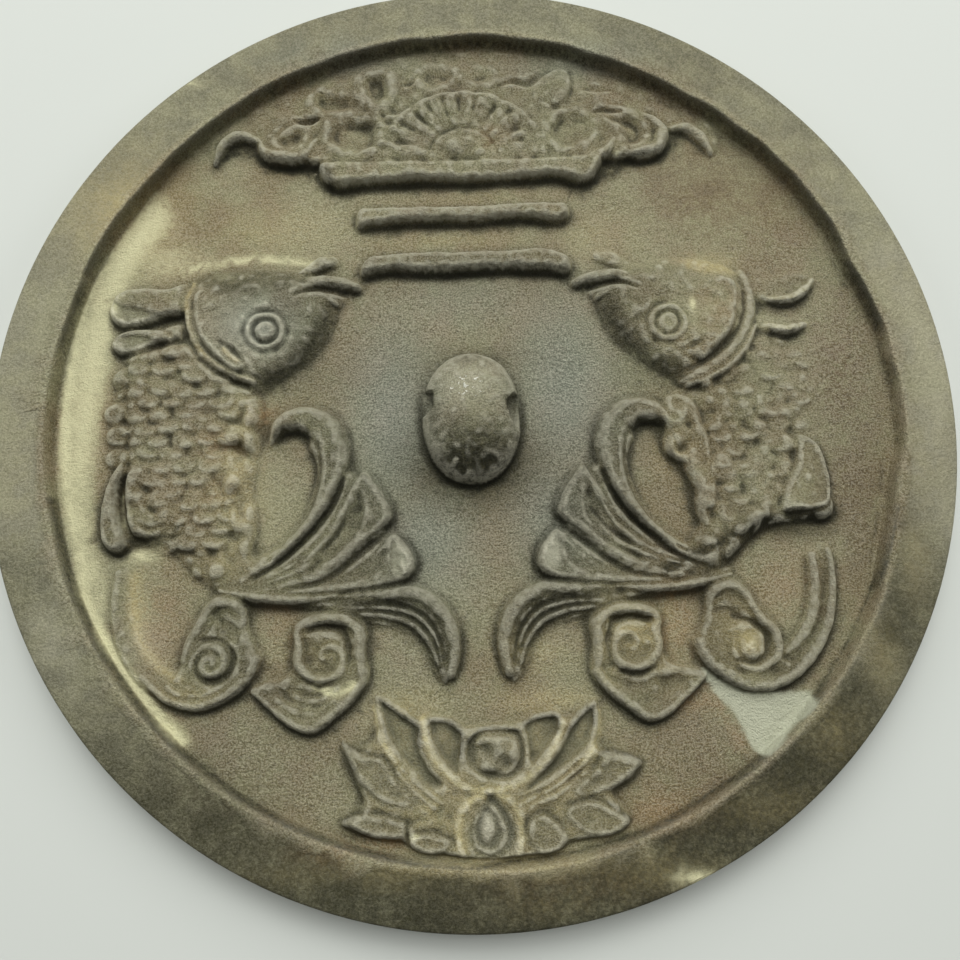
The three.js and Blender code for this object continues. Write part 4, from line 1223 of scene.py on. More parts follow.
@dataclass
class Graph:
    """One tree of nodes, and the one method that adds them."""

    tree: bpy.types.NodeTree

    def node(
        self, kind: str, settings: dict | None = None, **values: object
    ) -> bpy.types.Node:
        """Adds a node.

        Args:
            kind: the node's type.
            settings: its own settings, set first.
            values: values or links for its inputs, named as they are or as in_ and a number.

        Returns:
            The node.
        """
        made = self.tree.nodes.new(kind)
        for key, value in (settings or {}).items():
            setattr(made, key, value)
        for key, value in values.items():
            name = int(key[3:]) if key.startswith("in_") else key.replace("_", " ")
            self.feed(made.inputs[name], value)
        return made

    def feed(self, socket: bpy.types.NodeSocket, value: object) -> None:
        """Links a value to a socket, or sets the socket to a plain number or colour."""
        if isinstance(value, Value):
            self.tree.links.new(value.socket, socket)
        else:
            socket.default_value = value

    def value(
        self, kind: str, settings: dict | None = None, output: int | str = 0,
        **values: object,
    ) -> "Value":
        """Adds a node and gives one of its outputs.

        Args:
            kind: the node's type.
            settings: its own settings.
            output: the output's number or name.
            values: values or links for its inputs.

        Returns:
            The output, as a value that sums can be written with.
        """
        return Value(self, self.node(kind, settings, **values).outputs[output])

    def noise(self, where: "Value", size: float, detail: float, rough: float) -> "Value":
        """Adds a noise whose lumps are a size in mm."""
        return self.value("ShaderNodeTexNoise", None, "Fac", Vector=where, Scale=1 / (size * MM),
            Detail=detail, Roughness=rough,)

    def mix(self, share: "Value", a: object, b: object) -> "Value":
        """Mixes two colours by a share."""
        settings = {"data_type": "RGBA", "clamp_factor": True}
        return self.value("ShaderNodeMix", settings, 2, in_0=share, in_6=a, in_7=b)

    def step(self, value: "Value", low: float, high: float) -> "Value":
        """Eases a value from 0 at low to 1 at high."""
        settings = {"interpolation_type": "SMOOTHSTEP"}
        return self.value("ShaderNodeMapRange", settings, in_0=value, in_1=low, in_2=high)

    def named(self, name: str) -> "Value":
        """Reads a number that the mesh holds at each point."""
        return self.value("ShaderNodeAttribute", {"attribute_name": name}, "Fac")


@dataclass(frozen=True)
class Value:
    """A socket that sums can be written with."""

    graph: Graph
    socket: bpy.types.NodeSocket

    def _sum(self, operation: str, a: object, b: object) -> "Value":
        """Adds one Math node."""
        return self.graph.value("ShaderNodeMath", {"operation": operation}, in_0=a, in_1=b)

    def __add__(self, other: object) -> "Value":
        """Adds."""
        return self._sum("ADD", self, other)

    __radd__ = __add__

    def __sub__(self, other: object) -> "Value":
        """Subtracts."""
        return self._sum("SUBTRACT", self, other)

    def __rsub__(self, other: object) -> "Value":
        """Subtracts from."""
        return self._sum("SUBTRACT", other, self)

    def __mul__(self, other: object) -> "Value":
        """Multiplies."""
        return self._sum("MULTIPLY", self, other)

    __rmul__ = __mul__

    def __rtruediv__(self, other: object) -> "Value":
        """Divides another by this."""
        return self._sum("DIVIDE", other, self)

    def most(self, other: object) -> "Value":
        """Takes the larger."""
        return self._sum("MAXIMUM", self, other)

    def least(self, other: object) -> "Value":
        """Takes the smaller."""
        return self._sum("MINIMUM", self, other)


# ---- finish

Colour = tuple[float, float, float, float]


def colour(red: float, green: float, blue: float) -> Colour:
    """Turns a colour as it is seen, 0 to 255, into the shader's own scale."""
    parts = []
    for part in (red, green, blue):
        share = part / 255
        parts.append(share / 12.92 if share <= 0.04045 else ((share + 0.055) / 1.055) ** 2.4)
    return (*parts, 1.0)


@dataclass(frozen=True)
class WeatherAndShade:
    """The grains and maps that say where the bronze is worn, dirty or coated, and where shade and
    highlights are painted.
    """

    fine: Value
    sand: Value
    pitted: Value
    cloudy: Value
    broad: Value
    hollow: Value
    edge: Value
    rim: Value
    shade: Value
    tones: dict[Tone, Value]
    plain: Value


@dataclass(frozen=True)
class BronzeFinish:
    """Old bronze: worn metal, brown patina, earth and verdigris in its hollows, with painted shade,
    painted highlights and painted glints.
    """

    name: str = "bronze_patina"
    metal: Colour = colour(160, 157, 122)
    brown: Colour = colour(136, 119, 82)
    # Dark patina and grain, and painted shade.
    dark: Colour = colour(62, 61, 37)
    # Painted shade in hollows and below raised forms, partly grime.
    shade_and_dirt: Colour = colour(30, 30, 18)
    pit: Colour = colour(52, 52, 34)
    pale: Colour = colour(212, 209, 168)
    tan: Colour = colour(192, 176, 122)
    rust: Colour = colour(158, 122, 74)
    red: Colour = colour(124, 100, 74)
    green: Colour = colour(198, 200, 174)
    blue: Colour = colour(140, 149, 139)
    slate: Colour = colour(112, 113, 93)
    steel: Colour = colour(142, 141, 121)
    # Pale grain and rubbed edges, painted highlights and sheen; then painted glints.
    bright: Colour = colour(216, 213, 190)
    glint: Colour = colour(238, 238, 224)
    fine_size: float = 0.34
    pitted_size: float = 0.8
    sand_size: float = 1.25
    cloudy_size: float = 6.5
    broad_size: float = 26.0
    specular: float = 0.2
    bump_depth: float = 0.0005

    def weather_and_shade(self, g: Graph) -> WeatherAndShade:
        """Adds the grains, and reads the maps from the mesh."""
        place = g.value("ShaderNodeTexCoord", None, "Object")
        maps = {name: g.named(name) for name in MAPS}
        tones = {tone: g.named(tone.value) for tone in Tone}
        return WeatherAndShade(fine=g.noise(place, self.fine_size, 3, 0.72),
            sand=g.noise(place, self.sand_size, 3, 0.65),
            pitted=g.noise(place, self.pitted_size, 2, 0.6),
            cloudy=g.noise(place, self.cloudy_size, 4, 0.62),
            broad=g.noise(place, self.broad_size, 3, 0.55), tones=tones,plain=(1 - 0.7
            * tones[Tone.SMOOTH]) * (1 - 0.66 * maps["rim"]) * (1 - 0.45 * tones[Tone.PALE]),
            **maps,)

    def base_colour(self, g: Graph, w: WeatherAndShade) -> Value:
        """Mixes the colour, from bare metal up through patina, painted shade, grime and crusts to
        bright wear, painted highlights and painted glints.

        Args:
            g: the material's nodes.
            w: its grains and maps.

        Returns:
            The colour.
        """
        t, sand, fine, pitted, cloudy = w.tones, w.sand, w.fine, w.pitted, w.cloudy
        patina = g.step(cloudy * 0.6 + w.broad * 0.6, 0.46, 0.78) * (1 - 0.5 * w.rim)
        blotch = g.step(cloudy + sand * 0.5, 0.46, 0.96) * (1 - w.rim)
        blotch = blotch + g.step(cloudy * 0.7 + fine * 0.5, 0.36, 0.8) * w.rim
        rusty = 0.2 + 0.8 * g.step(sand * 0.7 + cloudy * 0.6, 0.46, 0.78)
        # Where shade is painted, which keeps the tan crust thin there.
        in_hollow_and_shade = w.hollow * 0.4 + w.shade * 0.45
        crust = 0.15 + 0.8 * g.step(sand * 0.7 + fine * 0.35 - in_hollow_and_shade, 0.22, 0.62)
        # Breaks up the painted shade of its own tone.
        sooty = 0.6 + 0.4 * g.step(pitted * 0.5 + sand * 0.5, 0.36, 0.6)
        # Where no shade is painted, which is where the bright grain shows.
        out_of_shade = (1 - 0.8 * w.hollow) * (1 - 0.85 * w.shade)
        out_of_shade = out_of_shade * (1 - 0.8 * t[Tone.PAINTED_SHADE]) * (1 - 0.5 * t[Tone.DARK])
        earthy = t[Tone.PALE] * 0.5 + sand * 0.5 + cloudy * 0.3 - w.hollow * 0.3 - w.shade * 0.3
        layers = (
            (w.rim * (0.45 + 0.3 * g.step(cloudy, 0.4, 0.62)), self.steel),
            (t[Tone.RED] * g.step(sand + cloudy * 0.5, 0.4, 1.0) * 0.9, self.red),
            # Blue-grey tint, then dark patina and painted shade from the dark tone.
            (t[Tone.BLUE] * 0.8, self.blue), (t[Tone.DARK] * (0.3 + 0.7 * blotch), self.dark),
            # Painted shade in hollows, partly grime, and painted shadow below raised forms.
            (g.step(w.hollow + sand * 0.3, 0.3, 1.05) * 0.8, self.shade_and_dirt),
            (g.step(w.shade + sand * 0.5, 0.38, 1.1) * 0.88, self.shade_and_dirt),
            (t[Tone.RUST] * rusty * 0.8, self.rust), (t[Tone.TAN] * crust, self.tan),
            # Slate tint, then painted shade from its own tone.
            (t[Tone.SLATE] * 0.8, self.slate), (t[Tone.PAINTED_SHADE] * sooty, self.shade_and_dirt),
            (g.step(fine, 0.42, 0.64) * 0.32 * w.plain, self.dark),
            (g.step(sand * 0.4 + pitted * 0.6, 0.52, 0.66) * 0.3 * w.plain, self.pit), (
            g.step(0.5 - fine * 0.7 + cloudy * 0.2, 0.16, 0.36) * 0.4 * w.plain * out_of_shade,
            self.bright), (t[Tone.PALE] * g.step(earthy, 0.42, 0.86), self.pale),
            (g.step(t[Tone.GREEN] * 0.9 + sand * 0.3 + pitted * 0.2, 0.45, 0.95), self.green),
            # Rubbed edges with a painted highlight along them, painted highlights and sheen, and
            # painted glints.
            (g.step(w.edge, 0.15, 0.95) * g.step(sand + fine * 0.5, 0.45, 0.9) * 0.5, self.bright),
            (t[Tone.BRIGHT] * 0.75, self.bright),
            (g.step(t[Tone.SPARKLE] * 0.5 + pitted, 1.06, 1.1) * 0.9, self.glint),
        )
        body = g.mix(patina, self.metal, self.brown)
        for share, over in layers:
            body = g.mix(share, body, over)
        return body

    def make(self) -> bpy.types.Material:
        """Builds the material."""
        material = bpy.data.materials.new(self.name)
        material.use_nodes = True
        g = Graph(material.node_tree)
        w = self.weather_and_shade(g)
        inputs = material.node_tree.nodes["Principled BSDF"].inputs
        cover = w.tones[Tone.PALE].most(w.tones[Tone.TAN])
        cover = cover.most(w.tones[Tone.GREEN]).most(w.tones[Tone.RUST])
        soot = w.tones[Tone.PAINTED_SHADE]
        metallic = 0.4 - cover * 0.36 - w.hollow * 0.2 - w.shade * 0.3 - soot * 0.2
        rough = 0.52 + w.fine * 0.22 + cover * 0.25 + soot * 0.16
        rough = rough - w.edge * 0.1 - w.tones[Tone.SMOOTH] * 0.06
        relief = (w.fine * 1.5 + w.pitted * 0.8 + w.sand * 0.7) * w.plain
        g.feed(inputs["Base Color"], self.base_colour(g, w))
        g.feed(inputs["Metallic"], metallic.most(0.02))
        g.feed(inputs["Roughness"], rough.least(0.95))
        g.feed(inputs["Specular IOR Level"], self.specular)
        bump = g.value("ShaderNodeBump", None, "Normal", Strength=1.0, Distance=self.bump_depth,
            Height=relief,)
        g.feed(inputs["Normal"], bump)
        return material


# ---- the casting


@dataclass
class Casting:
    """The whole mirror: its sheet of heights, its skin and its finish."""

    low: Vector
    high: Vector
    rim_top: float = 7.0
    field_edge: float = 75.5
    rubbed: float = 0.22
    deepest: float = -0.6
    rings: int = 330
    faces: int = 186_000
    sheet: ReliefSheet = field(default_factory=ReliefSheet)
    maps: dict[str, np.ndarray] = field(init=False, default_factory=dict)
    surface: np.ndarray = field(init=False)
    out: np.ndarray = field(init=False)

    def __post_init__(self) -> None:
        """Takes the disc's sizes from the frame's box."""
        radius = (self.high.x - self.low.x) / 2 / MM
        self.disc = Disc(radius=radius, rim_top=self.rim_top, knob_top=self.high.z / MM)
        self.out = np.hypot(self.sheet.x, self.sheet.y)

    def draw(self) -> None:
        """Draws the relief, rubs it down, and sets it on the disc with the knob."""
        sheet, disc, out = self.sheet, self.disc, self.out
        forms: list = [Bars(), Flower(), Lotus()]
        for side in Side:
            forms += [Fish(side), StemCloud(side), LobeCloud(side)]
        for form in forms:
            form.draw(sheet)
            LOG.info("relief: %s drawn", type(form).__name__)
        sheet.wear(self.rubbed)
        cast = 0.09 * sheet.grain(15, 0.5) + 0.06 * sheet.grain(16, 1.1)
        sheet.height += ramp(sheet.height, 0, 1.2) * cast
        inside = ramp(out, self.field_edge, -1.5)
        drawn = disc.field_top + np.maximum(sheet.height, self.deepest) * inside
        bare = np.maximum(disc.field_and_rim(sheet), drawn)
        uneven = 0.05 * sheet.grain(8, 1.2) + 0.07 * sheet.grain(9, 4.0)
        bare += uneven * inside * 0.8 + 0.02 * sheet.grain(10, 3.0) * (1 - inside)
        knob = disc.knob(sheet)
        on_knob = knob > disc.field_top + 0.05
        knob = knob + 0.1 * sheet.grain(12, 0.5) + 0.1 * sheet.grain(13, 1.4)
        top = np.where(on_knob, np.maximum(bare, knob), bare)
        top = np.where(out > self.field_edge + 1.5, np.minimum(top, disc.rim_top), top)
        self.surface = np.minimum(top, disc.knob_top - 0.02)

    def stain_and_shade(self) -> None:
        """Works out where the top is hollow, sharp or turned from the light, paints shade into the
        hollows and onto the shaded slopes, and places its tones.
        """
        sheet, top, disc, out = self.sheet, self.surface, self.disc, self.out
        near, wide, soft = (sheet.blur(top, spread) for spread in (0.7, 1.7, 0.3))
        # Painted shade in hollows, partly grime, kept lighter where the surface faces the light.
        hollow = ramp(near - top, 0, 0.32) * 0.6 + ramp(wide - top, 0, 0.9) * 0.4
        lit = ramp(-np.gradient(sheet.blur(top, 0.5), sheet.cell, axis=0), 0, 0.5)
        hollow *= 1 - 0.5 * np.maximum(lit, np.roll(lit, 4, axis=0) * 0.5)
        # Painted shade on slopes facing away from the light, and a painted cast shadow below
        # whatever stands up on the light's side; less of both towards the flower.
        shade = ramp(np.gradient(soft, sheet.cell, axis=0), 0.25, 1.0) * 0.85
        for cells in (3, 5):
            over = np.roll(soft, -cells, axis=0) - soft - 1.1 * cells * sheet.cell
            shade = np.maximum(shade, ramp(over, 0, 0.9))
        shade *= np.interp(sheet.y, [20, 40], [1.0, 0.72])
        # Less painted shade on the lower part of the rim's inner wall.
        wall = (top - disc.field_top) / (disc.rim_top - disc.field_top)
        lightened = ramp(out, self.field_edge - 2.5, 1.2) * (1 - np.clip(wall * 2.2, 0.35, 1))
        # Raised edges, for rubbed metal and a painted highlight along them; weaker at the rim.
        edge = ramp(top - sheet.blur(top, 0.45), 0, 0.13)
        self.maps = {"hollow": hollow * (1 - lightened),
            "edge": edge * (1 - 0.6 * ramp(out, self.field_edge - 2, 1.0)),
            "rim": ramp(out, self.field_edge + 0.5, 1.0), "shade": shade * (1 - lightened),}
        self.stain_deposits()
        self.stain_and_shade_metal()
        sheet.tones[Tone.GREEN] *= ramp(out, self.field_edge + 0.3, -0.6)
        spills = (sheet.y < -60) | (sheet.y > 62)
        sheet.tones[Tone.PALE] *= np.maximum(ramp(out, self.field_edge - 0.1, -0.6), spills)
        for tone in sheet.tones.values():
            np.clip(tone, 0, 1, out=tone)

    def stain_deposits(self) -> None:
        """Places the pale crust, the verdigris, the earth and the rust."""
        sheet = self.sheet
        crescent = [
            (-59.5, 47), (-66.5, 37), (-71.4, 24), (-73.6, 8), (-73.4, -8), (-71, -20), (-66, -31),
            (-63.4, -35), (-64.4, -28), (-66.6, -18), (-67.4, -6), (-66, 6), (-64.6, 18), (-62, 29),
            (-56, 40),
        ]
        sheet.tint_plate(crescent, 3.2, pale=0.9)
        sheet.tint_along([(-68, -30), (-63.5, -39), (-57, -47.6), (-51, -54)], 2.9, pale=1)
        sheet.tint_along([(-64, 41), (-70.6, 26), (-73.2, 8), (-72.4, -10), (-68, -28)], 3, pale=1)
        sheet.tint_along([(-28.5, -46), (-25.6, -47.4), (-22.4, -46.2)], 1.7, pale=1)
        sheet.tint_along([(-53, 29.6), (-46, 31.2), (-38, 31.6), (-30, 30.4)], 1.9, pale=0.85)
        sheet.tint(pale=[(-59, -23, 4, 1.6, 0.9), (-56, 31.5, 9, 4, 0.6), (40, 19.4, 0.7, 1.7, 0.9),
            (-62, 45, 6, 7, 0.5), (33, -78, 5, 1.5, 0.85), (-13, -70.4, 1.4, 0.7, 1),
            (28.4, 50.6, 0.6, 0.6, 1), (-35, 75, 0.9, 0.7, 1), (-52, 66, 1.2, 0.9, 0.8)])
        verdigris = [(36.8, -45.6), (40.2, -48), (44, -49.8), (50, -50), (55, -50.4), (55, -54),
            (51.4, -58.4), (46.6, -60.4), (44, -58.6), (43.2, -56), (41, -52.2), (38.6, -49.6)]
        sheet.tint_plate(verdigris, 1, green=1)
        sheet.tint_along([(37.4, -49), (40.4, -54), (42.8, -59)], 1.2, rust=0.8)
        sheet.tint(tan=[(1, -64, 18, 9, 0.35), (-14, -51, 6, 3, 0.7), (10, -50, 8, 2, 0.7),
            (20, -44, 3, 6, 0.5), (25, -39, 7, 5, 0.75), (-5, 34.6, 15, 1.6, 0.5),
            (0, 43, 18, 1.2, 0.3), (-26, -41, 6, 5, 0.25), (-62, 38, 8, 9, 0.6),
            (44, -40, 5, 6, 0.5), (-35, 37, 12, 5, 0.4), (22, 34, 8, 5, 0.35),
            (0, -75, 20, 1.2, 0.9), (-42, -10, 3, 11, 0.7), (34, -8, 3, 3, 0.4),
            (8, -42, 6, 4, 0.5), (44, 28.4, 5, 1.6, 0.8), (-51, -47, 6, 2, 0.5),
            (30, -45, 4, 3, 0.4), (-44, -24, 5, 4, 0.5)])
        sheet.tint(rust=[(-46, -5, 4, 4, 0.6), (-46, -13, 4, 4, 0.5), (-39, 1.6, 3, 2.4, 0.9),
            (-55, -34, 4, 7, 0.5), (53, -32, 5, 6, 0.5), (33, -38, 3, 6, 0.8),
            (-20, -71.6, 8, 1.6, 1), (28, -68, 6, 2.4, 0.7), (36, -51, 4, 1.6, 0.6),
            (-35, -37, 3, 4, 0.5), (45, 20, 4, 4, 0.3), (4, 54, 3, 3, 0.5),
            (12, -78.6, 12, 2.4, 0.4), (-57, -32, 3, 4, 0.5)])

    def stain_and_shade_metal(self) -> None:
        """Places the brown, grey and dark tints of the metal, painted shade and painted highlights,
        and where it is smooth or has painted glints.
        """
        sheet = self.sheet
        sheet.tint(red=[(67, 6, 6, 15, 1), (67, -14, 6, 12, 0.9), (46, 42, 15, 10, 0.8),
            (58, 30, 8, 8, 0.7), (-40, -60, 13, 8, 0.5), (38, -62, 13, 8, 0.6), (36, 62, 9, 6, 0.6),
            (-46, 40, 10, 8, 0.25), (33, -34, 6, 8, 0.4), (30, 40, 8, 5, 0.4)])
        sheet.tint(blue=[(-15, 0, 8, 17, 0.9), (16, 4, 9, 18, 0.9), (13, -18, 8, 12, 0.8),
            (-10, -22, 9, 10, 0.8), (0, 22, 16, 6, 0.4), (-25, 72, 12, 2.5, 0.5),
            (22, 70.6, 12, 2.5, 0.5), (-39, 17, 9, 7, 0.9)])
        self.shade_rim_and_relief()
        # Painted sheen along the rim's right side.
        sheet.tint_along([(80.6, -24), (82, -8), (81.6, 12), (77, 28)], 3.6, bright=0.16)
        sheet.tint(tan=[(28, -77, 9, 1.8, 0.6), (45, -67.5, 6, 2.4, 0.5), (57, -56.5, 4, 4, 0.5),
            (66, -44, 2.6, 6, 0.4), (10, -81, 8, 1.4, 0.3), (-30, -75, 8, 1.4, 0.25),
            (74, -30, 2, 6, 0.3)])
        # Painted sheen on the rim's lower left.
        sheet.tint(bright=[(-73, -37, 1.6, 4, 0.35), (-69, -43, 1.4, 3, 0.25)])
        # Dark patches of patina, dark bands along the brows, and painted shade on the knob's lower
        # half, its upper end and its hole mouths, under each jaw and under the right fish's body.
        sheet.tint(dark=[(48, 46, 18, 12, 0.4), (-44, 46, 14, 10, 0.15), (-50, -64, 12, 10, 0.35),
            (44, -68, 12, 8, 0.15), (-1, -9, 9, 6, 1), (-1, 10.4, 8, 2.6, 0.8),
            (-8.4, 2, 1.8, 7, 0.9), (6.6, 2, 1.8, 7, 0.9), (-34, 8, 8, 4, 0.5), (34, 7, 7, 4, 0.7),
            (55, -22.4, 8, 1.6, 1), (-22, -60, 3, 5, 0.3), (67, -10, 6, 20, 0.3),
            (-40, 27.4, 10, 1.4, 0.9), (40, 27, 10, 1.4, 0.6), (-46, 2, 10, 12, 0.35),
            (46, 0, 12, 12, 0.4)])
        # Painted shade along the foot of the rim's inner wall on the near side.
        low_wall = np.radians(np.linspace(190, 345, 15))
        sheet.tint_along([(75.2 * math.cos(a), 75.2 * math.sin(a)) for a in low_wall], 0.5,
            soot=0.9)
        # Painted shade over the knob's lower half and at a lotus petal.
        sheet.tint(soot=[(-1, -9.2, 10, 6, 1), (-1, -5.4, 7, 2.6, 0.75), (-6, -6, 2.4, 3, 0.5),
            (5, -6, 2.4, 3, 0.5), (-22, -70.4, 4, 1, 0.7)])
        # Painted shade along each jaw, along the outer edge of the lobes and under each tail.
        for side in Side:
            jaw = [(25.4, 19.4), (27.6, 15.6), (30, 12.4), (33.4, 9.2), (37.6, 6.8)]
            sheet.tint_along(side.place(jaw), 2.4, soot=0.75)
            fan = [(21.2, -9.4), (17.4, -12.6), (14.4, -17), (13.6, -20.6), (10.4, -24), (10, -28),
                (13, -30.4)]
            sheet.tint_along(side.place(fan), 0.9, soot=0.5)
            sheet.tint_along(side.place([(33, -32), (24, -32.4), (15, -32), (10, -31.6)]), 0.8,
                soot=0.5)
        # Painted shadow under the right fish's body and under both ends of the flower's ground.
        sheet.tint_along(
            [(31.8, -28.6), (38.8, -25.6), (44.6, -22.8), (49, -20.8), (56, -20.4), (63, -19.6)], 2,
            soot=0.95)
        sheet.tint_along([(-48, 50.6), (-45.4, 53.2), (-41, 53), (-38, 50.2), (-32, 49.6),
            (-27, 48.2), (-26, 45)], 1.5, soot=1)
        sheet.tint_along([(41, 54.6), (37.6, 51.4), (31, 50), (26.6, 47.2), (22, 44.2)], 1.5,
            soot=0.95)
        # Painted glints and a painted highlight on the knob's cap, and a brighter spot on the left
        # cloud's stem.
        sheet.tint(sparkle=[(-1.5, 4, 6, 4.6, 1), (1, -3, 5, 4, 0.75)])
        sheet.tint(bright=[(-1.5, 5, 5.5, 4, 0.4), (-58, -38, 3, 4, 0.2)])
        sheet.tint(smooth=[(-44, 46, 18, 12, 0.45), (46, 44, 18, 14, 0.6), (-42, 18, 9, 7, 0.8),
            (42, 19, 8, 6, 0.4), (-36, -14, 4, 8, 0.4), (-59, -34, 3, 9, 0.5)])

    def shade_rim_and_relief(self) -> None:
        """Paints shade on the rim by how far round it is, mottled with the patina, most along the
        side nearest to the lotus, and paints shade over the raised relief.
        """
        sheet = self.sheet
        turn = np.degrees(np.arctan2(sheet.y, sheet.x)) + 5 * sheet.grain(21, 4)
        marks = [-170, -155, -135, -115, -90, -60, -40, -22, -8, 12, 35, 60, 90, 120, 145, 170, 190]
        dark = [0.25, 0.6, 0.9, 1, 1, 1, 1, 0.6, 0.25, 0.2, 0.55, 0.7, 0.6, 0.6, 0.5, 0.25, 0.25]
        soot = [0, 0.18, 0.4, 0.6, 0.76, 0.78, 0.72, 0.3, 0.04, 0, 0, 0.04, 0, 0.02, 0, 0, 0]
        everywhere = (slice(None), slice(None))
        for tone, strengths in ((Tone.DARK, dark), (Tone.PAINTED_SHADE, soot)):
            sheet.coat(tone, everywhere, self.maps["rim"] * np.interp(turn, marks, strengths))
        # Painted shade over the raised relief, less on the fish's flanks and least across the bars.
        proud = ramp(sheet.height, 0, 1.3) * (sheet.height > 0)
        flank = np.exp(
            -(((np.abs(sheet.x - AXIS_X) - 46) / 14.5) ** 4) - (((sheet.y - 3) / 25) ** 4))
        share = np.interp(sheet.y, [-70, -52, -44, 20, 40, 50, 56, 80],
            [0.5, 0.5, 0.75, 0.75, 0.25, 0.25, 0.5, 0.5])
        sheet.coat(Tone.DARK, everywhere, proud * (1 - flank) * share)

    def radii(self) -> np.ndarray:
        """Spaces the rings, closer together where the rim turns."""
        mm = np.linspace(0, 1, 2001) * self.disc.radius
        density = 1 + 1.6 * np.exp(-(((mm - 75.0) / 1.2) ** 2))
        density = density + 1.6 * np.exp(-(((mm - 84.7) / 0.7) ** 2))
        run = np.concatenate([[0], np.cumsum((density[1:] + density[:-1]) / 2)])
        return np.interp(np.linspace(0, 1, self.rings + 1), run / run[-1], mm)

    @staticmethod
    def web(inner: int, outer: int, k: int) -> list[np.ndarray]:
        """Gives the triangles between two rings.

        Args:
            inner: the first point of ring k, which has 6 * k points.
            outer: the first point of the ring round it.
            k: the inner ring's number.

        Returns:
            The triangles, a sixth of the way round at a time.
        """
        size, grown, faces = max(6 * k, 1), 6 * (k + 1), []
        for sector in range(6):
            i = np.arange(k + 1)
            near, far = sector * k + i, sector * (k + 1) + i
            ends = (inner + near % size, outer + far % grown, outer + (far + 1) % grown)
            faces.append(np.column_stack(ends))
            near, far = near[:k], far[:k]
            ends = (inner + near % size, outer + (far + 1) % grown, inner + (near + 1) % size)
            faces.append(np.column_stack(ends))
        return faces

    def blank(self) -> bpy.types.Object:
        """Builds the round blank: rings of points over a disc, its edge and its underside.

        Returns:
            The blank as an object whose top is flat and holds its lift in an attribute.
        """
        disc, radii = self.disc, self.radii()
        where, faces = [np.zeros((1, 2))], []
        starts = [0]
        for k in range(1, self.rings + 1):
            angle = np.arange(6 * k) * (2 * math.pi / (6 * k))
            where.append(radii[k] * np.column_stack([np.cos(angle), np.sin(angle)]))
            starts.append(1 + 3 * k * (k - 1))
        for k in range(self.rings):
            faces += self.web(starts[k], starts[k + 1], k)
        flat = np.vstack(where)
        heights = self.sheet.at(self.surface, flat[:, 0], flat[:, 1])
        turn = np.hypot(flat[:, 0], flat[:, 1]) - (disc.radius - disc.edge)
        turn = np.clip(turn / disc.edge, 0, 1)
        heights -= disc.edge * (1 - np.sqrt(1 - turn**2)) * 0.8
        points, lifts = [np.column_stack([flat, np.zeros(len(flat))])], [heights]
        last = starts[self.rings] + np.arange(6 * self.rings)
        edge, total = flat[last], len(flat)
        under = [(1.0, 4.6), (1.0, 2.6), (1.0, 0.6)]
        under += [(1 - 0.18 / disc.radius, 0.18), (1 - 0.6 / disc.radius, 0.0)]
        under += [(share, 0.0) for share in (0.985, 0.94, 0.86, 0.74, 0.6, 0.45, 0.3, 0.15)]
        for share, high in under:
            points.append(np.column_stack([edge * share, np.zeros(len(edge))]))
            lifts.append(np.full(len(edge), high))
            ring = total + np.arange(len(edge))
            total += len(edge)
            after, under_after = np.roll(last, -1), np.roll(ring, -1)
            faces.append(np.column_stack([last, ring, after]))
            faces.append(np.column_stack([after, ring, under_after]))
            last = ring
        points.append(np.zeros((1, 3)))
        lifts.append(np.zeros(1))
        faces.append(np.column_stack([last, np.full(len(last), total), np.roll(last, -1)]))
        mesh = bpy.data.meshes.new("casting")
        mesh.from_pydata((np.vstack(points) * MM).tolist(), [], np.vstack(faces).tolist())
        lift = mesh.attributes.new("lift", "FLOAT", "POINT")
        lift.data.foreach_set("value", np.concatenate(lifts).astype(np.float32))
        mesh.update()
        return link_object("casting", mesh)

    def lift(self, blank: bpy.types.Object, material: bpy.types.Material) -> None:
        """Raises the blank's top by its lift with a Geometry Nodes tree, and makes that its mesh.

        Args:
            blank: the flat blank, which becomes the casting.
            material: the finish that the tree sets.
        """
        tree = bpy.data.node_groups.new("raise_relief", "GeometryNodeTree")
        face = tree.interface
        face.new_socket("Geometry", in_out="INPUT", socket_type="NodeSocketGeometry")
        face.new_socket("Geometry", in_out="OUTPUT", socket_type="NodeSocketGeometry")
        sizes = {"Height per unit": MM, "Dent depth": 0.00002, "Dent size": 0.009, "Seed": 4.0,
            "Dents above": 3.0}
        for name in sizes:
            face.new_socket(name, in_out="INPUT", socket_type="NodeSocketFloat")
        face.new_socket("Finish", in_out="INPUT", socket_type="NodeSocketMaterial")
        g = Graph(tree)
        enter = {socket.name: Value(g, socket) for socket in g.node("NodeGroupInput").outputs}
        lift = g.value("GeometryNodeInputNamedAttribute", {"data_type": "FLOAT"}, Name="lift")
        noise = g.value("ShaderNodeTexNoise", {"noise_dimensions": "4D"},
            Scale=1 / enter["Dent size"], W=enter["Seed"],)
        dented = g.value("FunctionNodeCompare", None, in_0=lift, in_1=enter["Dents above"])
        rise = lift * enter["Height per unit"] + (noise - 1.0) * enter["Dent depth"] * dented
        offset = g.value("ShaderNodeCombineXYZ", None, Z=rise)
        moved = g.value("GeometryNodeSetPosition", None, Geometry=enter["Geometry"], Offset=offset)
        solid = g.value("GeometryNodeRealizeInstances", None, in_0=moved)
        dressed = g.value("GeometryNodeSetMaterial", None, Geometry=solid, Material=enter["Finish"])
        g.node("NodeGroupOutput", in_0=dressed)
        modifier = blank.modifiers.new("raise_relief", "NODES")
        modifier.node_group = tree
        keys = {item.name: item.identifier for item in face.items_tree if item.in_out == "INPUT"}
        for name, value in sizes.items():
            modifier[keys[name]] = value
        modifier[keys["Finish"]] = material
        self.apply(blank)

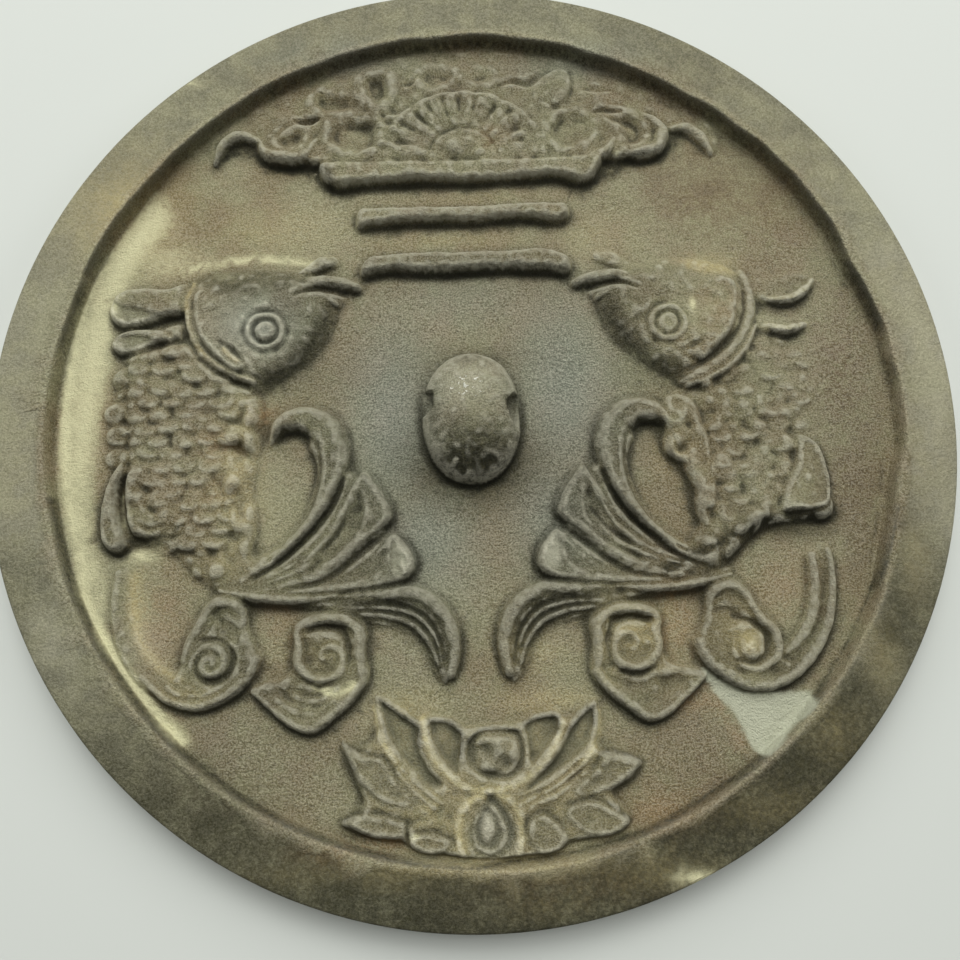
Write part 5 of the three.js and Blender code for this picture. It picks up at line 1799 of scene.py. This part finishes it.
    def apply(self, piece: bpy.types.Object) -> None:
        """Makes a piece's modifiers part of its mesh and takes them off."""
        ready = piece.evaluated_get(bpy.context.evaluated_depsgraph_get())
        mesh = bpy.data.meshes.new_from_object(ready)
        piece.modifiers.clear()
        piece.data = mesh

    def bore(self, piece: bpy.types.Object) -> None:
        """Cuts the cord hole through the knob."""
        cutter = CordHole(floor=self.disc.field_top).cutter()
        cut = piece.modifiers.new("cut", "BOOLEAN")
        cut.object, cut.operation, cut.solver = cutter, "DIFFERENCE", "MANIFOLD"
        self.apply(piece)
        bpy.data.objects.remove(cutter)

    def thin(self, piece: bpy.types.Object) -> None:
        """Collapses faces where the skin is flat, and keeps every point inside the box."""
        thin = piece.modifiers.new("thin", "DECIMATE")
        thin.ratio = self.faces / len(piece.data.polygons)
        self.apply(piece)
        places = points_of(piece.data)
        places = np.clip(places, np.array(self.low) + HAIR, np.array(self.high) - HAIR)
        piece.data.vertices.foreach_set("co", places.ravel())
        piece.data.update()

    def colour(self, piece: bpy.types.Object) -> None:
        """Writes the maps that the finish reads onto the skin's points."""
        mesh = piece.data
        x, y, z = (points_of(mesh) / MM).T
        top = ramp(z, 1.5, 1.0) * (np.hypot(x, y) < self.disc.radius - 0.05)
        tones = {tone.value: self.sheet.tones[tone] for tone in Tone}
        for name, values in (self.maps | tones).items():
            held = mesh.attributes.new(name, "FLOAT", "POINT")
            values = self.sheet.at(values, x, y) * top
            held.data.foreach_set("value", values.astype(np.float32))
        if "lift" in mesh.attributes:
            mesh.attributes.remove(mesh.attributes["lift"])
        mesh.shade_smooth()

    def build(self) -> bpy.types.Object:
        """Builds and dresses the casting.

        Returns:
            The finished piece.
        """
        self.draw()
        self.stain_and_shade()
        finish = BronzeFinish().make()
        skin = self.blank()
        self.lift(skin, finish)
        self.bore(skin)
        self.thin(skin)
        self.colour(skin)
        skin.data.materials.clear()
        skin.data.materials.append(finish)
        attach(skin, "root")
        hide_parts("mirror")
        LOG.info("casting: %d faces", len(skin.data.polygons))
        return skin


# ---- studio


@dataclass(frozen=True)
class Lamp:
    """A soft square light that faces the middle of the mirror."""

    name: str
    share: float
    at: tuple[float, float, float]
    size: float

    def hang(self, power: float) -> None:
        """Hangs the lamp at its share of a power."""
        lamp = bpy.data.lights.new(self.name, "AREA")
        lamp.energy, lamp.size = power * self.share, self.size
        holder = link_object(self.name, lamp)
        holder.location = self.at
        holder.rotation_euler = (-Vector(self.at)).to_track_quat("-Z", "Y").to_euler()


@dataclass(frozen=True)
class Studio:
    """The pale floor, the soft lights and the camera."""

    floor_half: float = 1.2
    floor_gap: float = 0.0001
    floor_colour: Colour = colour(193, 197, 190)
    floor_rough: float = 0.9
    power: float = 8.4
    sky: Colour = (0.98, 1.0, 1.0, 1.0)
    sky_strength: float = 0.12
    lamps: tuple[Lamp, ...] = (Lamp("key", 1.0, (0.02, 0.85, 0.75), 0.9),
        Lamp("overhead", 1.7, (0.0, 0.6, 1.2), 1.0), Lamp("left", 0.16, (-0.8, 0.1, 0.5), 0.4),
        Lamp("right", 0.2, (0.8, 0.1, 0.5), 0.4),)
    camera_place: tuple[float, float, float] = (-0.003309, -0.040785, 0.14981)
    camera_right: tuple[float, float, float] = (0.999236, -0.034804, 0.016744)
    camera_up: tuple[float, float, float] = (0.030858, 0.980138, 0.195835)
    lens: float = 31.54

    def floor(self, low: Vector) -> None:
        """Lays the floor just under the piece."""
        half, z = self.floor_half, low.z - self.floor_gap
        mesh = bpy.data.meshes.new("floor")
        corners = [(-half, -half, z), (half, -half, z), (half, half, z), (-half, half, z)]
        mesh.from_pydata(corners, [], [(0, 1, 2, 3)])
        material = bpy.data.materials.new("pale_cloth")
        material.use_nodes = True
        shader = material.node_tree.nodes["Principled BSDF"]
        shader.inputs["Base Color"].default_value = self.floor_colour
        shader.inputs["Roughness"].default_value = self.floor_rough
        mesh.materials.append(material)
        link_object("floor", mesh)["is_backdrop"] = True

    def lights(self) -> None:
        """Hangs a wide key beyond the flower, a wider one overhead, two at the sides, and a sky."""
        for lamp in self.lamps:
            lamp.hang(self.power)
        world = bpy.data.worlds.new("sky")
        world.use_nodes = True
        back = world.node_tree.nodes["Background"]
        back.inputs["Color"].default_value = self.sky
        back.inputs["Strength"].default_value = self.sky_strength
        bpy.context.scene.world = world
        bpy.context.scene.view_settings.view_transform = "Standard"

    def camera(self) -> None:
        """Sets the camera almost straight above, leaning back a little."""
        right = Vector(self.camera_right)
        back = right.cross(Vector(self.camera_up)).normalized()
        up = back.cross(right).normalized()
        lens = bpy.data.cameras.new("camera")
        lens.lens, lens.sensor_width, lens.clip_start = self.lens, 36.0, 0.005
        holder = link_object("camera", lens)
        turn = Matrix((right.normalized(), up, back)).transposed().to_4x4()
        holder.matrix_world = Matrix.Translation(self.camera_place) @ turn
        bpy.context.scene.camera = holder

    def build(self, low: Vector) -> None:
        """Sets out the whole studio."""
        self.camera()
        self.floor(low)
        self.lights()
        LOG.info("studio: floor, lights and camera placed")


def main() -> None:
    """Builds the mirror and its studio, and notes the sizes of the frame and of the piece."""
    logging.basicConfig(level=logging.INFO, format="%(name)s: %(message)s")
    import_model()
    low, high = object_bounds()
    Studio().build(low)
    Casting(low, high).build()


if __name__ == "__main__":
    main()
